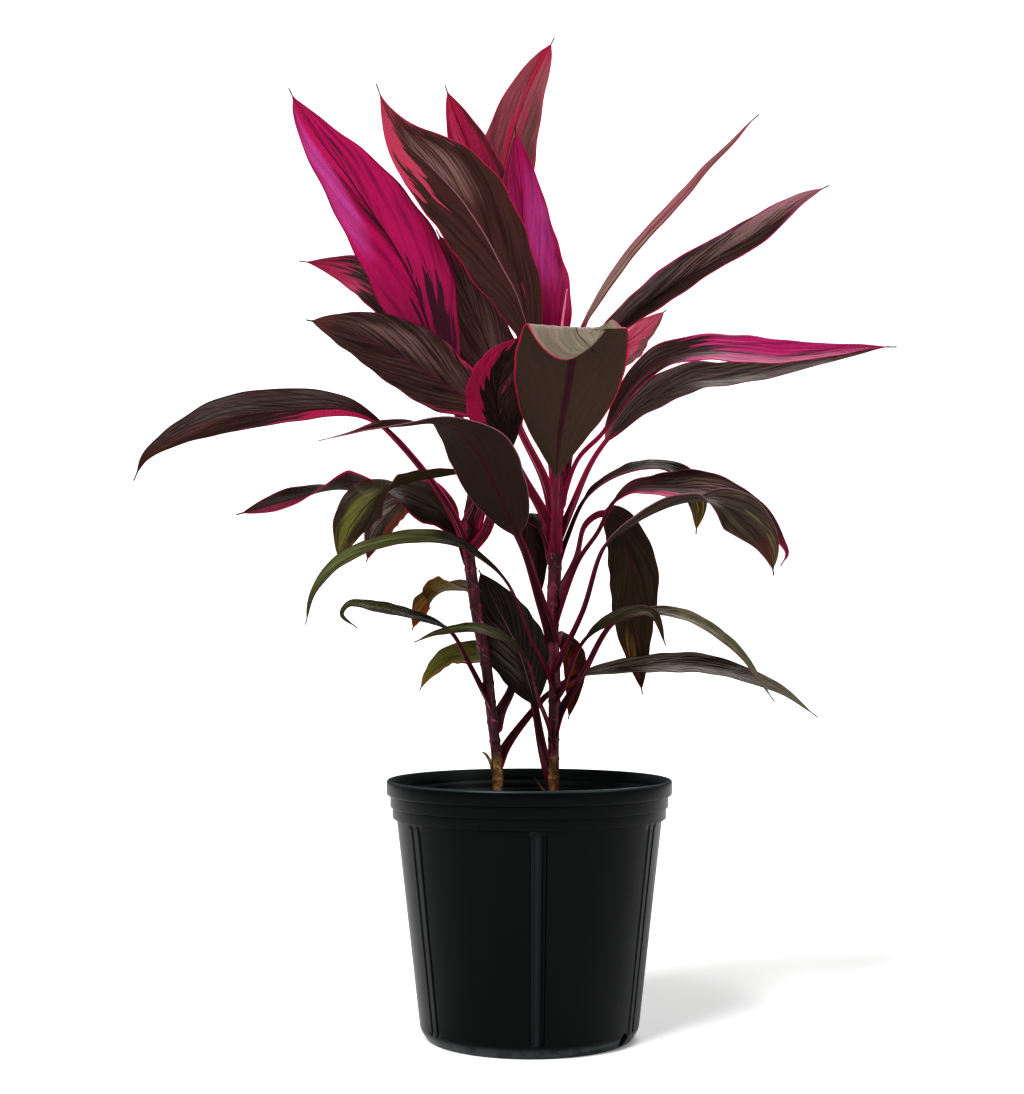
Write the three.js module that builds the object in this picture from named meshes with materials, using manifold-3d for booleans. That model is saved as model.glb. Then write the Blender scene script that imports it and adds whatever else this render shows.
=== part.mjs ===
// Potted red sister ti plant: two upright canes of Cordyline fruticosa in a black
// moulded nursery pot. Millimetres, +Z up. The origin is the centre of the pot's
// base, on the surface it stands on. -Y is the front of the plant.
import * as THREE from 'three';
import { mergeVertices } from 'three/addons/utils/BufferGeometryUtils.js';
import Module from 'manifold-3d';

// Pot
const POT_HEIGHT = 238;
const RIM_RADIUS = 133.5;
const RIM_BOTTOM = 223.5;
const UPPER_BAND_RADIUS = 130;
const UPPER_BAND_BOTTOM = 212.5;
const LOWER_BAND_RADIUS = 128;
const LOWER_BAND_BOTTOM = 202;
const BODY_TOP_RADIUS = 124;
const BODY_FOOT_RADIUS = 102;
const FOOT_HEIGHT = 12;
const BASE_RADIUS = 95.5;
const WALL = 3;
const RIM_ROLL = 2.5;
const RIM_CORNER = 0.8;
const RIM_INSET = 1.6;
const BAND_SLOPE = 1;
const FOOT_SLOPE = 2;
const POT_SEGMENTS = 48;
const RIB_COUNT = 6;
const RIB_TURN = 3.3;
const RIB_HALF_SPACING = 3.1;
const GROOVE_WIDTH = 4;
const GROOVE_DEPTH = 1.5;
const GROOVE_OVERRUN = 4;
const GROOVE_DROP = 2.4;
const DRAIN_RADIUS = 5;
const DRAIN_ANGLES = [-33, 147];
const DRAIN_HEIGHT = 6;
const DRAIN_SIDES = 16;

// Soil
const SOIL_TOP = 200;
const CLEARANCE = 0.3;
const SOIL_CROWN = 4;
const SOIL_RINGS = [0.8, 0.55, 0.3];
const SOIL_RELIEF = 1.6;
const SOIL_WAVES = [7, 9];

// Twig
const TWIG = {
  radius: [1.7, 1.5, 1.1],
  path: [[40, 28, 178], [36, 27, 196], [20, 26, 217], [5, 25, 236]],
};

// Rolled new leaf at the tip of the right cane
const SPEAR = {
  radius: [2.6, 3.4, 2.8, 1.6, 0.7],
  path: [[29, 10, 529.4], [31, 5, 596], [31, 1, 661], [36, -1, 701]],
};

// Canes
const CANE_SIDES = 8;
const CANE_STEP = 9;
const RING_SPACING = 18;
const RING_HEIGHT = 0.5;
const RIGHT_CANE = {
  radius: [5.4, 5.2, 5.4, 6, 6.4, 4.2],
  path: [[23, 10, 148], [23, 10, 226], [23, 10, 272], [24, 10, 333], [22, 10, 376],
    [25, 10, 444], [28, 10, 501], [29, 10, 529]],
};
const LEFT_CANE = {
  radius: [5.2, 5, 5, 5.4, 5.6, 4],
  path: [[-30, -10, 148], [-30, -10, 250], [-35, -10, 297], [-41, -10, 349],
    [-48, -10, 386], [-56, -10, 443], [-58, -10, 476], [-54, -10, 505]],
};

// Leaves
const PETIOLE_STATIONS = 4;
const BLADE_STATIONS = 10;
const FOOT_REACH = 60;
const BASE_HALF_WIDTH = 4.2;
const NECK_HALF_WIDTH = 2.8;
const TIP_HALF_WIDTH = 0.6;
const TIP_START = 0.97;
const FULL_PLACE = 0.42;
const BASE_CURVE = 0.75;
const TIP_CURVE = 0.85;
const FOLDS = [0.25, 0.2];
const FOLD_CURVE = 1.4;
const FOLD_DROP = 0.4;
const FACE_PLACE = 0.45;
const MIDRIB_SAMPLES = 240;
const NECK_FADE = 0.3;
const PETIOLE_THICKNESS = 3.4;
const RIB_THICKNESS = 2.2;
const TIP_THICKNESS = 0.9;
const BLADE_THICKNESS = 0.8;
const FOOT_EDGE_THICKNESS = 1.6;
const RIB_SPREAD = 0.625;
const ACROSS = [-1, -0.5, 0, 0.5, 1];
const COLOURS = {
  magenta: 0x8c1d4a,
  bronze: 0x3a1f22,
  green: 0x53612c,
  autumn: 0x9a4a22,
};

const wasm = await Module();
wasm.setup();

// Booleans work on solids whose shared corners are merged.
function toSolid(geometry) {
  const bare = geometry.clone();
  bare.deleteAttribute('normal');
  bare.deleteAttribute('uv');
  const merged = mergeVertices(bare, 1e-4);
  return new wasm.Manifold(new wasm.Mesh({
    numProp: 3,
    vertProperties: new Float32Array(merged.attributes.position.array),
    triVerts: new Uint32Array(merged.index.array),
  }));
}

function toGeometry(solid) {
  const mesh = solid.getMesh();
  const geometry = new THREE.BufferGeometry();
  geometry.setAttribute('position', new THREE.BufferAttribute(mesh.vertProperties, 3));
  geometry.setIndex(new THREE.BufferAttribute(mesh.triVerts, 1));
  return geometry;
}

function largestPiece(solid) {
  const pieces = solid.decompose();
  return pieces.reduce((best, piece) => (piece.volume() > best.volume() ? piece : best));
}

// A closed skin over rings of the same number of points, with both ends capped by
// strips across the ring.
function skin(rings) {
  const count = rings[0].length;
  const positions = rings.flat().flatMap((p) => [p.x, p.y, p.z]);
  const index = [];
  for (let i = 0; i < rings.length - 1; i += 1) {
    for (let j = 0; j < count; j += 1) {
      const a = i * count + j;
      const b = i * count + ((j + 1) % count);
      const half = count / 2;
      const mirrored = j >= half;
      if (mirrored) index.push(a, b, a + count, b, b + count, a + count);
      else index.push(a, b, b + count, a, b + count, a + count);
    }
  }
  const last = (rings.length - 1) * count;
  for (let j = 0; j < count / 2 - 1; j += 1) {
    const k = count - 1 - j;
    index.push(j, k, j + 1, j + 1, k, k - 1);
    index.push(last + j, last + j + 1, last + k, last + j + 1, last + k - 1, last + k);
  }
  const geometry = new THREE.BufferGeometry();
  geometry.setAttribute('position', new THREE.Float32BufferAttribute(positions, 3));
  geometry.setIndex(index);
  return geometry;
}

const vector = (p) => new THREE.Vector3(p[0], p[1], p[2]);

function smoothPath(points) {
  return new THREE.CatmullRomCurve3(points.map(vector), false, 'centripetal');
}

function interpolate(values, share) {
  const x = Math.min(Math.max(share, 0), 1) * (values.length - 1);
  const i = Math.min(Math.floor(x), values.length - 2);
  return values[i] + (values[i + 1] - values[i]) * (x - i);
}

// The pot: one turned wall with a rolled rim and two stepped bands, grooved in pairs
// down the outside and pierced at the foot.
function potGeometry() {
  const outer = [
    [0, 0],
    [BASE_RADIUS, 0],
    [BODY_FOOT_RADIUS - FOOT_SLOPE, FOOT_HEIGHT - RIM_ROLL * 2],
    [BODY_FOOT_RADIUS, FOOT_HEIGHT],
    [BODY_TOP_RADIUS, LOWER_BAND_BOTTOM],
    [LOWER_BAND_RADIUS, LOWER_BAND_BOTTOM + BAND_SLOPE],
    [LOWER_BAND_RADIUS, UPPER_BAND_BOTTOM],
    [UPPER_BAND_RADIUS, UPPER_BAND_BOTTOM + BAND_SLOPE],
    [UPPER_BAND_RADIUS, RIM_BOTTOM],
    [RIM_RADIUS - RIM_CORNER, RIM_BOTTOM + RIM_CORNER],
    [RIM_RADIUS, RIM_BOTTOM + RIM_ROLL],
    [RIM_RADIUS, POT_HEIGHT - RIM_ROLL],
    [RIM_RADIUS - RIM_CORNER, POT_HEIGHT - RIM_CORNER],
    [RIM_RADIUS - RIM_ROLL, POT_HEIGHT],
  ];
  const inner = [
    [RIM_RADIUS - RIM_ROLL - RIM_INSET, POT_HEIGHT - RIM_CORNER],
    [UPPER_BAND_RADIUS - WALL, RIM_BOTTOM + BAND_SLOPE],
    [UPPER_BAND_RADIUS - WALL, UPPER_BAND_BOTTOM + BAND_SLOPE],
    [LOWER_BAND_RADIUS - WALL, UPPER_BAND_BOTTOM],
    [LOWER_BAND_RADIUS - WALL, LOWER_BAND_BOTTOM + BAND_SLOPE],
    [BODY_TOP_RADIUS - WALL, LOWER_BAND_BOTTOM],
    [BODY_FOOT_RADIUS - WALL, FOOT_HEIGHT],
    [BASE_RADIUS - WALL, WALL],
    [0, WALL],
  ];
  const profile = [...outer, ...inner].map(([r, z]) => new THREE.Vector2(r, z));
  const turned = new THREE.LatheGeometry(profile, POT_SEGMENTS);
  turned.rotateX(Math.PI / 2);
  let pot = toSolid(turned);
  const rise = LOWER_BAND_BOTTOM - FOOT_HEIGHT;
  const slant = Math.atan2(BODY_TOP_RADIUS - BODY_FOOT_RADIUS, rise);
  const middleRadius = (BODY_TOP_RADIUS + BODY_FOOT_RADIUS) / 2;
  const grooveMiddle = FOOT_HEIGHT + rise / 2 - GROOVE_DROP;
  for (let i = 0; i < RIB_COUNT; i += 1) {
    for (const side of [-1, 1]) {
      const groove = new THREE.BoxGeometry(GROOVE_WIDTH, GROOVE_DEPTH * 2, rise + GROOVE_OVERRUN);
      groove.rotateX(slant);
      groove.translate(side * (RIB_HALF_SPACING + GROOVE_WIDTH / 2), -middleRadius, grooveMiddle);
      groove.rotateZ(THREE.MathUtils.degToRad(RIB_TURN + (360 / RIB_COUNT) * i));
      pot = pot.subtract(toSolid(groove));
    }
  }
  for (const angle of DRAIN_ANGLES) {
    const drain = new THREE.CylinderGeometry(DRAIN_RADIUS, DRAIN_RADIUS, WALL * 6, DRAIN_SIDES);
    drain.rotateZ(Math.PI / 2);
    drain.translate(BASE_RADIUS + FOOT_SLOPE, 0, DRAIN_HEIGHT);
    drain.rotateZ(THREE.MathUtils.degToRad(angle));
    pot = pot.subtract(toSolid(drain));
  }
  return toGeometry(largestPiece(pot));
}

// A round stem along a path. Its leaf scars are low rings, and grow adds clearance.
function stemGeometry(stem, grow) {
  const path = smoothPath(stem.path);
  const length = path.getLength();
  const steps = Math.round(length / CANE_STEP);
  const rings = [];
  for (let i = 0; i <= steps; i += 1) {
    const centre = path.getPointAt(i / steps);
    const ringed = i % (RING_SPACING / CANE_STEP) === 0 ? RING_HEIGHT : 0;
    const radius = interpolate(stem.radius, i / steps) + ringed + grow;
    const ring = [];
    for (let j = 0; j < CANE_SIDES; j += 1) {
      const angle = (j / CANE_SIDES) * Math.PI * 2;
      ring.push(new THREE.Vector3(centre.x + radius * Math.cos(angle),
        centre.y + radius * Math.sin(angle), centre.z));
    }
    rings.push(ring);
  }
  if (grow > 0) {
    rings[0].forEach((p) => { p.z -= grow; });
    rings[rings.length - 1].forEach((p) => { p.z += grow; });
  }
  return skin(rings);
}

// The soil: a plug that follows the pot's inside, low and uneven on top, with a plain
// blind hole for each cane and for the twig.
function soilGeometry() {
  const slope = (BODY_TOP_RADIUS - BODY_FOOT_RADIUS) / (LOWER_BAND_BOTTOM - FOOT_HEIGHT);
  const foot = BODY_FOOT_RADIUS - WALL - CLEARANCE;
  const edge = foot + slope * (SOIL_TOP - FOOT_HEIGHT);
  const profile = [
    [0, WALL + CLEARANCE], [BASE_RADIUS - WALL - CLEARANCE, WALL + CLEARANCE],
    [foot, FOOT_HEIGHT], [edge, SOIL_TOP],
    ...SOIL_RINGS.map((share) => [edge * share, SOIL_TOP + SOIL_CROWN * (1 - share)]),
    [0, SOIL_TOP + SOIL_CROWN],
  ].map(([r, z]) => new THREE.Vector2(r, z));
  const turned = new THREE.LatheGeometry(profile, POT_SEGMENTS);
  turned.rotateX(Math.PI / 2);
  const position = turned.attributes.position;
  for (let i = 0; i < position.count; i += 1) {
    const x = position.getX(i);
    const y = position.getY(i);
    const z = position.getZ(i);
    const inside = z > SOIL_TOP && Math.hypot(x, y) > 1;
    const relief = SOIL_RELIEF * Math.sin(x / SOIL_WAVES[0]) * Math.cos(y / SOIL_WAVES[1]);
    if (inside) position.setZ(i, z + relief);
  }
  let soil = toSolid(turned);
  for (const stem of [RIGHT_CANE, LEFT_CANE, TWIG]) {
    soil = soil.subtract(toSolid(stemGeometry(stem, CLEARANCE)));
  }
  return toGeometry(largestPiece(soil));
}

// Fine samples of a leaf's midrib, each with the direction across the blade. The
// upper face looks along spec.face at the middle of the blade, and from there the
// direction is carried to both ends without turning, then twisted by spec.turns, in
// degrees at even steps along the blade.
function midrib(spec) {
  const path = smoothPath(spec.path);
  const count = MIDRIB_SAMPLES;
  const samples = [];
  let run = 0;
  for (let i = 0; i <= count; i += 1) {
    const point = path.getPoint(i / count);
    if (i > 0) run += point.distanceTo(samples[i - 1].point);
    samples.push({ point, run, tangent: path.getTangent(i / count) });
  }
  const start = samples[Math.round((spec.blade / (spec.path.length - 1)) * count)].run;
  const middle = start + (run - start) * FACE_PLACE;
  const m = samples.findIndex((s) => s.run >= middle);
  samples[m].across = samples[m].tangent.clone().cross(vector(spec.face)).normalize();
  const carry = (from, to) => {
    const across = samples[from].across.clone();
    across.addScaledVector(samples[to].tangent, -across.dot(samples[to].tangent));
    samples[to].across = across.normalize();
  };
  for (let i = m + 1; i <= count; i += 1) carry(i - 1, i);
  for (let i = m - 1; i >= 0; i -= 1) carry(i + 1, i);
  for (const s of samples) {
    const turn = interpolate(spec.turns ?? [0, 0], (s.run - start) / (run - start));
    s.across.applyAxisAngle(s.tangent, THREE.MathUtils.degToRad(turn));
  }
  return { samples, start, length: run };
}

// Share of the full width at t along the blade, where t is 0 at its base and 1 at its tip.
function breadth(spec, t) {
  const peak = spec.peak ?? FULL_PLACE;
  const quarter = Math.PI / 2;
  if (t < peak) return Math.sin(quarter * (t / peak)) ** (spec.base ?? BASE_CURVE);
  const past = Math.min(1, (t - peak) / (TIP_START - peak));
  return Math.cos(quarter * past) ** (spec.taper ?? TIP_CURVE);
}

// One leaf: a channelled petiole that widens into a folded blade. grow adds
// clearance all round, and reach cuts the leaf short for the clearance of its foot.
function leafGeometry(spec, grow = 0, reach = Infinity) {
  const { samples, start, length } = midrib(spec);
  const stations = [];
  for (let i = 0; i < PETIOLE_STATIONS; i += 1) stations.push((start * i) / PETIOLE_STATIONS);
  for (let i = 0; i < BLADE_STATIONS; i += 1) {
    stations.push(start + (length - start) * (i / (BLADE_STATIONS - 1)));
  }
  const rings = [];
  for (const run of stations) {
    const s = samples.find((sample) => sample.run >= run - 1e-6) ?? samples[samples.length - 1];
    const up = s.across.clone().cross(s.tangent).normalize();
    const t = Math.max(0, (run - start) / (length - start));
    const foot = Math.min(1, run / start);
    const neck = BASE_HALF_WIDTH + (NECK_HALF_WIDTH - BASE_HALF_WIDTH) * foot;
    const stalk = t > 0 ? neck * Math.max(0, 1 - t / NECK_FADE) : neck;
    const half = Math.max(stalk, (spec.width / 2) * breadth(spec, t), TIP_HALF_WIDTH) + grow;
    const centre = t > 0
      ? RIB_THICKNESS + (TIP_THICKNESS - RIB_THICKNESS) * t
      : PETIOLE_THICKNESS + (RIB_THICKNESS - PETIOLE_THICKNESS) * foot ** 2;
    const edge = t > 0
      ? BLADE_THICKNESS
      : FOOT_EDGE_THICKNESS + (BLADE_THICKNESS - FOOT_EDGE_THICKNESS) * foot;
    const fold = interpolate(spec.folds ?? FOLDS, t) * half;
    const top = [];
    const bottom = [];
    for (const u of ACROSS) {
      const lift = fold * (Math.abs(u) ** FOLD_CURVE - FOLD_DROP);
      const thick = edge + (centre - edge) * Math.max(0, 1 - Math.abs(u) / RIB_SPREAD);
      const middle = s.point.clone().addScaledVector(s.across, half * u).addScaledVector(up, lift);
      top.push(middle.clone().addScaledVector(up, thick / 2 + grow));
      bottom.push(middle.clone().addScaledVector(up, -thick / 2 - grow));
    }
    rings.push([...top, ...bottom.reverse()]);
    if (run >= reach) break;
  }
  return skin(rings);
}

const RIGHT_LEAVES = {
  leaf_right_01: {
    path: [[23, 10, 228], [13, 8, 264], [5, 12, 307], [-1, 14, 330], [-12, 16, 362],
      [-32, 18, 402], [-48, 18, 435]],
    blade: 2, width: 60, face: [-0.3, -1, 0.3], colour: 'bronze',
  },
  leaf_right_02: {
    path: [[23, 10, 270], [17, -8, 291], [8, -25, 314], [-2, -45, 348], [-15, -52, 364],
      [-49, -60, 378], [-85, -62, 374], [-105, -62, 366]],
    blade: 3, width: 20, face: [0, -0.5, 1], colour: 'green',
  },
  leaf_right_03: {
    path: [[23, 10, 278], [30, 14, 299], [50, 20, 332], [82, 26, 385], [116, 30, 395],
      [158, 30, 387], [197, 28, 360], [234, 24, 309]],
    blade: 3, width: 22, face: [0, -0.5, 1], colour: 'green',
  },
  leaf_right_04: {
    path: [[24, 10, 319], [17, -6, 337], [0, -30, 372], [-18, -62, 416], [-36, -78, 436],
      [-72, -90, 457], [-116, -92, 458], [-170, -92, 437], [-193, -88, 411], [-201, -84, 382]],
    blade: 3, width: 30, face: [0, -0.5, 1], colour: 'green', peak: 0.55, base: 0.9, taper: 0.5,
  },
  leaf_right_05: {
    path: [[24, 10, 311], [32, -2, 321], [37, -12, 337], [50, -26, 366], [74, -38, 386],
      [111, -42, 393], [125, -42, 363]],
    blade: 3, width: 21, face: [0, -0.6, 1], colour: 'green',
  },
  leaf_right_06: {
    path: [[24, 10, 336], [30, -6, 351], [50, -30, 395], [68, -52, 452], [86, -66, 469],
      [106, -72, 482], [128, -80, 491], [151, -84, 495], [171, -86, 491], [189, -86, 479],
      [205, -84, 464], [215, -82, 447], [219, -80, 426]],
    blade: 3, width: 48, face: [0, -1, 0.6], colour: 'green', peak: 0.64, base: 0.9, taper: 0.8,
    turns: [-66, -66, -66, -58, 0, 0, 0],
  },
  leaf_right_07: {
    path: [[23, 10, 368], [32, 40, 375], [40, 62, 366], [46, 70, 346], [46, 72, 329],
      [39, 70, 290]],
    blade: 1, width: 26, face: [-0.6, -1, 0], colour: 'autumn',
  },
  leaf_right_08: {
    path: [[23, 10, 363], [18, -8, 381], [10, -25, 405], [-3, -60, 445], [-11, -84, 462],
      [-21, -108, 484], [-33, -130, 508], [-45, -156, 530], [-60, -172, 545], [-80, -180, 553],
      [-104, -178, 551], [-132, -170, 550], [-159, -164, 544], [-182, -160, 539]],
    blade: 4, width: 60, face: [0.2, 1, 0.8], colour: 'bronze', peak: 0.33,
    turns: [0, 0, 0, -40, -62, -50], folds: [0.1, 0.1], taper: 0.8, base: 0.6,
  },
  leaf_right_09: {
    path: [[23, 10, 375], [32, 4, 404], [47, -6, 443], [65, -8, 469], [78, -10, 495],
      [96, -14, 509], [118, -18, 511], [139, -20, 511], [161, -20, 510], [182, -20, 504],
      [203, -18, 492], [222, -14, 478], [234, -12, 462], [241, -12, 449], [235, -14, 437]],
    blade: 4, width: 52, face: [0, -0.7, 1], colour: 'bronze', base: 0.8, peak: 0.45,
  },
  leaf_right_10: {
    path: [[23, 10, 404], [44, 24, 444], [54, 40, 479], [73, 56, 491], [88, 66, 480],
      [102, 74, 436], [104, 78, 376], [112, 78, 314]],
    blade: 3, width: 49, face: [0.3, -1, 0], colour: 'autumn', base: 0.35,
  },
  leaf_right_11: {
    path: [[24, 10, 428], [36, 14, 463], [53, 18, 501], [74, 28, 521], [107, 36, 534],
      [135, 42, 534], [154, 44, 521], [163, 44, 499], [162, 44, 470]],
    blade: 2, width: 38, face: [0.2, -1, 0.4], colour: 'autumn', peak: 0.6, base: 0.6,
    turns: [-60, -60, -50, -10, 0],
  },
  leaf_right_12: {
    path: [[24, 10, 442], [13, 35, 474], [1, 52, 489], [5, 62, 470], [8, 64, 446],
      [11, 62, 407]],
    blade: 1, width: 28, face: [0.2, -1, 0.2], colour: 'bronze',
  },
  leaf_right_13: {
    path: [[25, 10, 456], [40, 14, 491], [59, 18, 535], [75, 20, 559], [105, 22, 591],
      [153, 24, 616], [189, 24, 620], [226, 24, 626], [260, 22, 633], [304, 22, 641],
      [345, 18, 649]],
    blade: 3, width: 54, face: [0, -0.7, 1], colour: 'bronze', peak: 0.3, base: 0.5, taper: 1.0,
  },
  leaf_right_14: {
    path: [[25, 10, 461], [30, -8, 489], [45, -28, 535], [69, -44, 560], [90, -52, 596],
      [115, -58, 621], [140, -60, 630], [166, -62, 633], [194, -64, 631], [228, -64, 628],
      [271, -64, 631], [304, -62, 635], [336, -60, 636]],
    blade: 3, width: 54, face: [0, -0.7, 1], colour: 'magenta', peak: 0.5, base: 0.6,
    taper: 1.1,
  },
  leaf_right_15: {
    path: [[25, 10, 448], [25, -20, 470], [24, -60, 491], [23, -110, 511], [25, -160, 548],
      [31, -200, 585], [35, -222, 615], [36, -234, 625], [38, -242, 617], [51, -244, 602]],
    blade: 3, width: 95, face: [0, 1, 0.9], colour: 'bronze', peak: 0.68, base: 1.15,
    taper: 0.28, folds: [0.3, 0.25, 0.22, 0.08, 0], turns: [0, 0, 0, 3.5, 3.5],
  },
  leaf_right_16: {
    path: [[25, 10, 463], [11, -30, 490], [-7, -62, 518], [-18, -80, 539], [-30, -92, 579],
      [-25, -97, 609], [-8, -98, 642]],
    blade: 3, width: 56, face: [0, -1, 0.3], colour: 'magenta', peak: 0.5, taper: 1.0,
  },
  leaf_right_17: {
    path: [[26, 10, 477], [15, 22, 521], [-8, 34, 570], [-38, 42, 649], [-59, 44, 699],
      [-80, 42, 747], [-90, 40, 767]],
    blade: 2, width: 52, face: [0, -1, 0.2], colour: 'bronze',
  },
  leaf_right_18: {
    path: [[27, 10, 486], [35, 36, 566], [48, 50, 620], [72, 60, 662], [96, 64, 683],
      [122, 66, 703], [152, 68, 725], [177, 70, 742], [207, 70, 760], [233, 68, 776],
      [257, 66, 794], [274, 64, 805], [297, 62, 816]],
    blade: 3, width: 54, face: [-0.4, -0.8, 0.8], colour: 'bronze', peak: 0.48, base: 0.4,
    taper: 0.75,
  },
  leaf_right_19: {
    path: [[28, 10, 496], [46, 80, 576], [74, 140, 634], [108, 185, 683], [125, 195, 697],
      [148, 205, 718]],
    blade: 2, width: 44, face: [0, -1, 0.8], colour: 'magenta',
  },
  leaf_right_20: {
    path: [[28, 10, 501], [16, 50, 601], [2, 72, 674], [-25, 90, 758], [-44, 98, 820],
      [-59, 100, 862], [-77, 100, 908], [-84, 100, 928]],
    blade: 2, width: 64, face: [0, -1, 0.2], colour: 'magenta', taper: 0.8,
  },
  leaf_right_21: {
    path: [[28, 10, 506], [18, 60, 583], [2, 100, 669], [-18, 128, 745], [-29, 145, 822],
      [-22, 150, 868], [-2, 152, 931], [28, 150, 994]],
    blade: 2, width: 64, face: [0, -1, 0.2], colour: 'magenta', taper: 0.6,
  },
  leaf_right_22: {
    path: [[28, 10, 510], [33, 26, 580], [53, 34, 670], [66, 36, 694], [82, 38, 719],
      [105, 40, 750], [129, 42, 777], [155, 42, 805], [176, 40, 830], [199, 40, 853],
      [217, 38, 873], [225, 38, 880]],
    blade: 2, width: 16, face: [-0.8, -0.8, 0.5], colour: 'magenta', base: 0.4, taper: 0.7,
  },
  leaf_right_23: {
    path: [[28, 10, 518], [22, 38, 600], [14, 50, 670], [-3, 60, 751], [-7, 64, 814],
      [-13, 66, 877]],
    blade: 1, width: 68, face: [0, -1, 0.2], colour: 'magenta', base: 1.1, peak: 0.42,
  },
  leaf_right_24: {
    path: [[28, 10, 522], [22, -2, 585], [6, -8, 639], [-3, -12, 667], [-12, -16, 694],
      [-26, -18, 720], [-39, -20, 745], [-51, -22, 764], [-64, -22, 783], [-79, -22, 800],
      [-95, -20, 817], [-112, -18, 833], [-124, -16, 849], [-135, -14, 868], [-145, -12, 895]],
    blade: 2, width: 78, face: [0, -1, 0.2], colour: 'bronze', peak: 0.5, base: 0.75,
    taper: 1.25,
  },
};
const LEFT_LEAVES = {
  leaf_left_01: {
    path: [[-30, -10, 249], [-24, 2, 263], [-14, 14, 278], [5, 28, 301], [16, 36, 313],
      [45, 44, 332], [91, 48, 341], [166, 52, 343], [239, 54, 322], [280, 54, 293]],
    blade: 5, width: 36, face: [0, -0.6, 1], colour: 'green',
  },
  leaf_left_02: {
    path: [[-32, -10, 286], [-28, 5, 299], [-16, 36, 326], [-22, 48, 346], [-40, 54, 353],
      [-74, 60, 352], [-96, 60, 335], [-106, 58, 319]],
    blade: 3, width: 38, face: [0, -0.7, 1], colour: 'green',
  },
  leaf_left_03: {
    path: [[-36, -10, 305], [-43, -16, 319], [-56, -22, 345], [-75, -28, 377],
      [-110, -32, 391], [-143, -34, 398], [-166, -34, 401], [-173, -34, 392], [-159, -34, 379]],
    blade: 3, width: 22, face: [0, -0.5, 1], colour: 'green',
  },
  leaf_left_04: {
    path: [[-52, -10, 413], [-55, 24, 417], [-70, 54, 419], [-87, 76, 417], [-99, 82, 407],
      [-108, 82, 393], [-115, 82, 377]],
    blade: 1, width: 56, face: [-0.4, -1, 0.4], colour: 'autumn', base: 0.4, peak: 0.5,
    turns: [70, 85, 60, 10, 0],
  },
  leaf_left_05: {
    path: [[-56, -10, 443], [-74, 35, 483], [-99, 65, 505], [-123, 82, 506], [-144, 90, 487],
      [-161, 90, 445]],
    blade: 2, width: 40, face: [-0.4, -1, 0.4], colour: 'bronze',
  },
  leaf_left_06: {
    path: [[-57, -10, 460], [-68, -22, 468], [-83, -28, 487], [-106, -34, 499],
      [-134, -36, 508], [-164, -34, 511], [-194, -32, 507], [-222, -32, 499], [-248, -30, 491],
      [-272, -30, 484]],
    blade: 1, width: 52, face: [0, -1, 0.5], colour: 'bronze', peak: 0.26,
    turns: [0, 0, 45, 85, 45, 0, 0], base: 0.6, taper: 0.75,
  },
  leaf_left_07: {
    path: [[-57, -10, 449], [-69, -34, 479], [-85, -46, 506], [-121, -52, 550],
      [-142, -52, 569], [-163, -52, 579], [-188, -50, 582], [-221, -48, 581], [-253, -48, 578],
      [-283, -46, 573], [-311, -44, 563], [-336, -42, 550], [-355, -40, 536], [-366, -38, 515]],
    blade: 3, width: 53, face: [0, -1, 0.9], colour: 'bronze', peak: 0.5, base: 1.6,
    taper: 0.85,
  },
  leaf_left_08: {
    path: [[-58, -10, 476], [-49, -40, 499], [-59, -62, 519], [-81, -70, 518],
      [-110, -74, 513], [-133, -76, 503], [-151, -74, 487], [-164, -71, 468], [-175, -66, 439]],
    blade: 2, width: 46, face: [-0.3, -1, 0.3], colour: 'autumn', peak: 0.6, base: 0.6,
    taper: 0.8, turns: [72, 76, 70, 8, 0, 0],
  },
  leaf_left_09: {
    path: [[-56, -10, 453], [-42, -22, 468], [-34, -30, 491], [-29, -44, 552], [-36, -48, 578],
      [-55, -50, 590], [-78, -50, 604], [-105, -52, 622], [-130, -52, 636], [-156, -52, 648],
      [-180, -50, 657], [-206, -48, 663]],
    blade: 4, width: 70, face: [0, -1, 0.5], colour: 'bronze', base: 0.5, taper: 0.8,
  },
  leaf_left_10: {
    path: [[-56, -10, 455], [-45, 20, 502], [-47, 50, 553], [-63, 85, 616], [-99, 105, 675],
      [-133, 112, 713], [-165, 120, 737], [-197, 124, 748], [-234, 125, 754]],
    blade: 3, width: 66, face: [0, -1, 0.6], colour: 'bronze', base: 0.7, taper: 1.1,
    folds: [0.25, 0.15], turns: [0, 0, 0, -20, -30],
  },
  leaf_left_11: {
    path: [[-56, -10, 462], [-47, 0, 500], [-49, 4, 538], [-69, 8, 586], [-82, 10, 627],
      [-96, 12, 668], [-109, 12, 707], [-126, 12, 740], [-144, 12, 768], [-165, 12, 800],
      [-180, 12, 821], [-195, 12, 840], [-208, 12, 858], [-220, 12, 876], [-231, 12, 898]],
    blade: 3, width: 78, face: [0, -1, 0.2], colour: 'magenta', peak: 0.42, base: 0.95,
    taper: 0.75,
  },
};

const group = new THREE.Group();

function add(name, geometry, colour, roughness) {
  const material = new THREE.MeshStandardMaterial({ color: colour, roughness, metalness: 0 });
  const mesh = new THREE.Mesh(geometry, material);
  mesh.name = name;
  group.add(mesh);
}

// A leaf's foot gives way to its stem and to the feet of the leaves set below it.
function addLeaves(stem, leaves) {
  let taken = toSolid(stemGeometry(stem, CLEARANCE));
  for (const [name, spec] of Object.entries(leaves)) {
    const leaf = toSolid(leafGeometry(spec)).subtract(taken);
    add(name, toGeometry(largestPiece(leaf)), COLOURS[spec.colour], 0.45);
    taken = taken.add(toSolid(leafGeometry(spec, CLEARANCE, FOOT_REACH)));
  }
  return taken;
}

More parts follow.
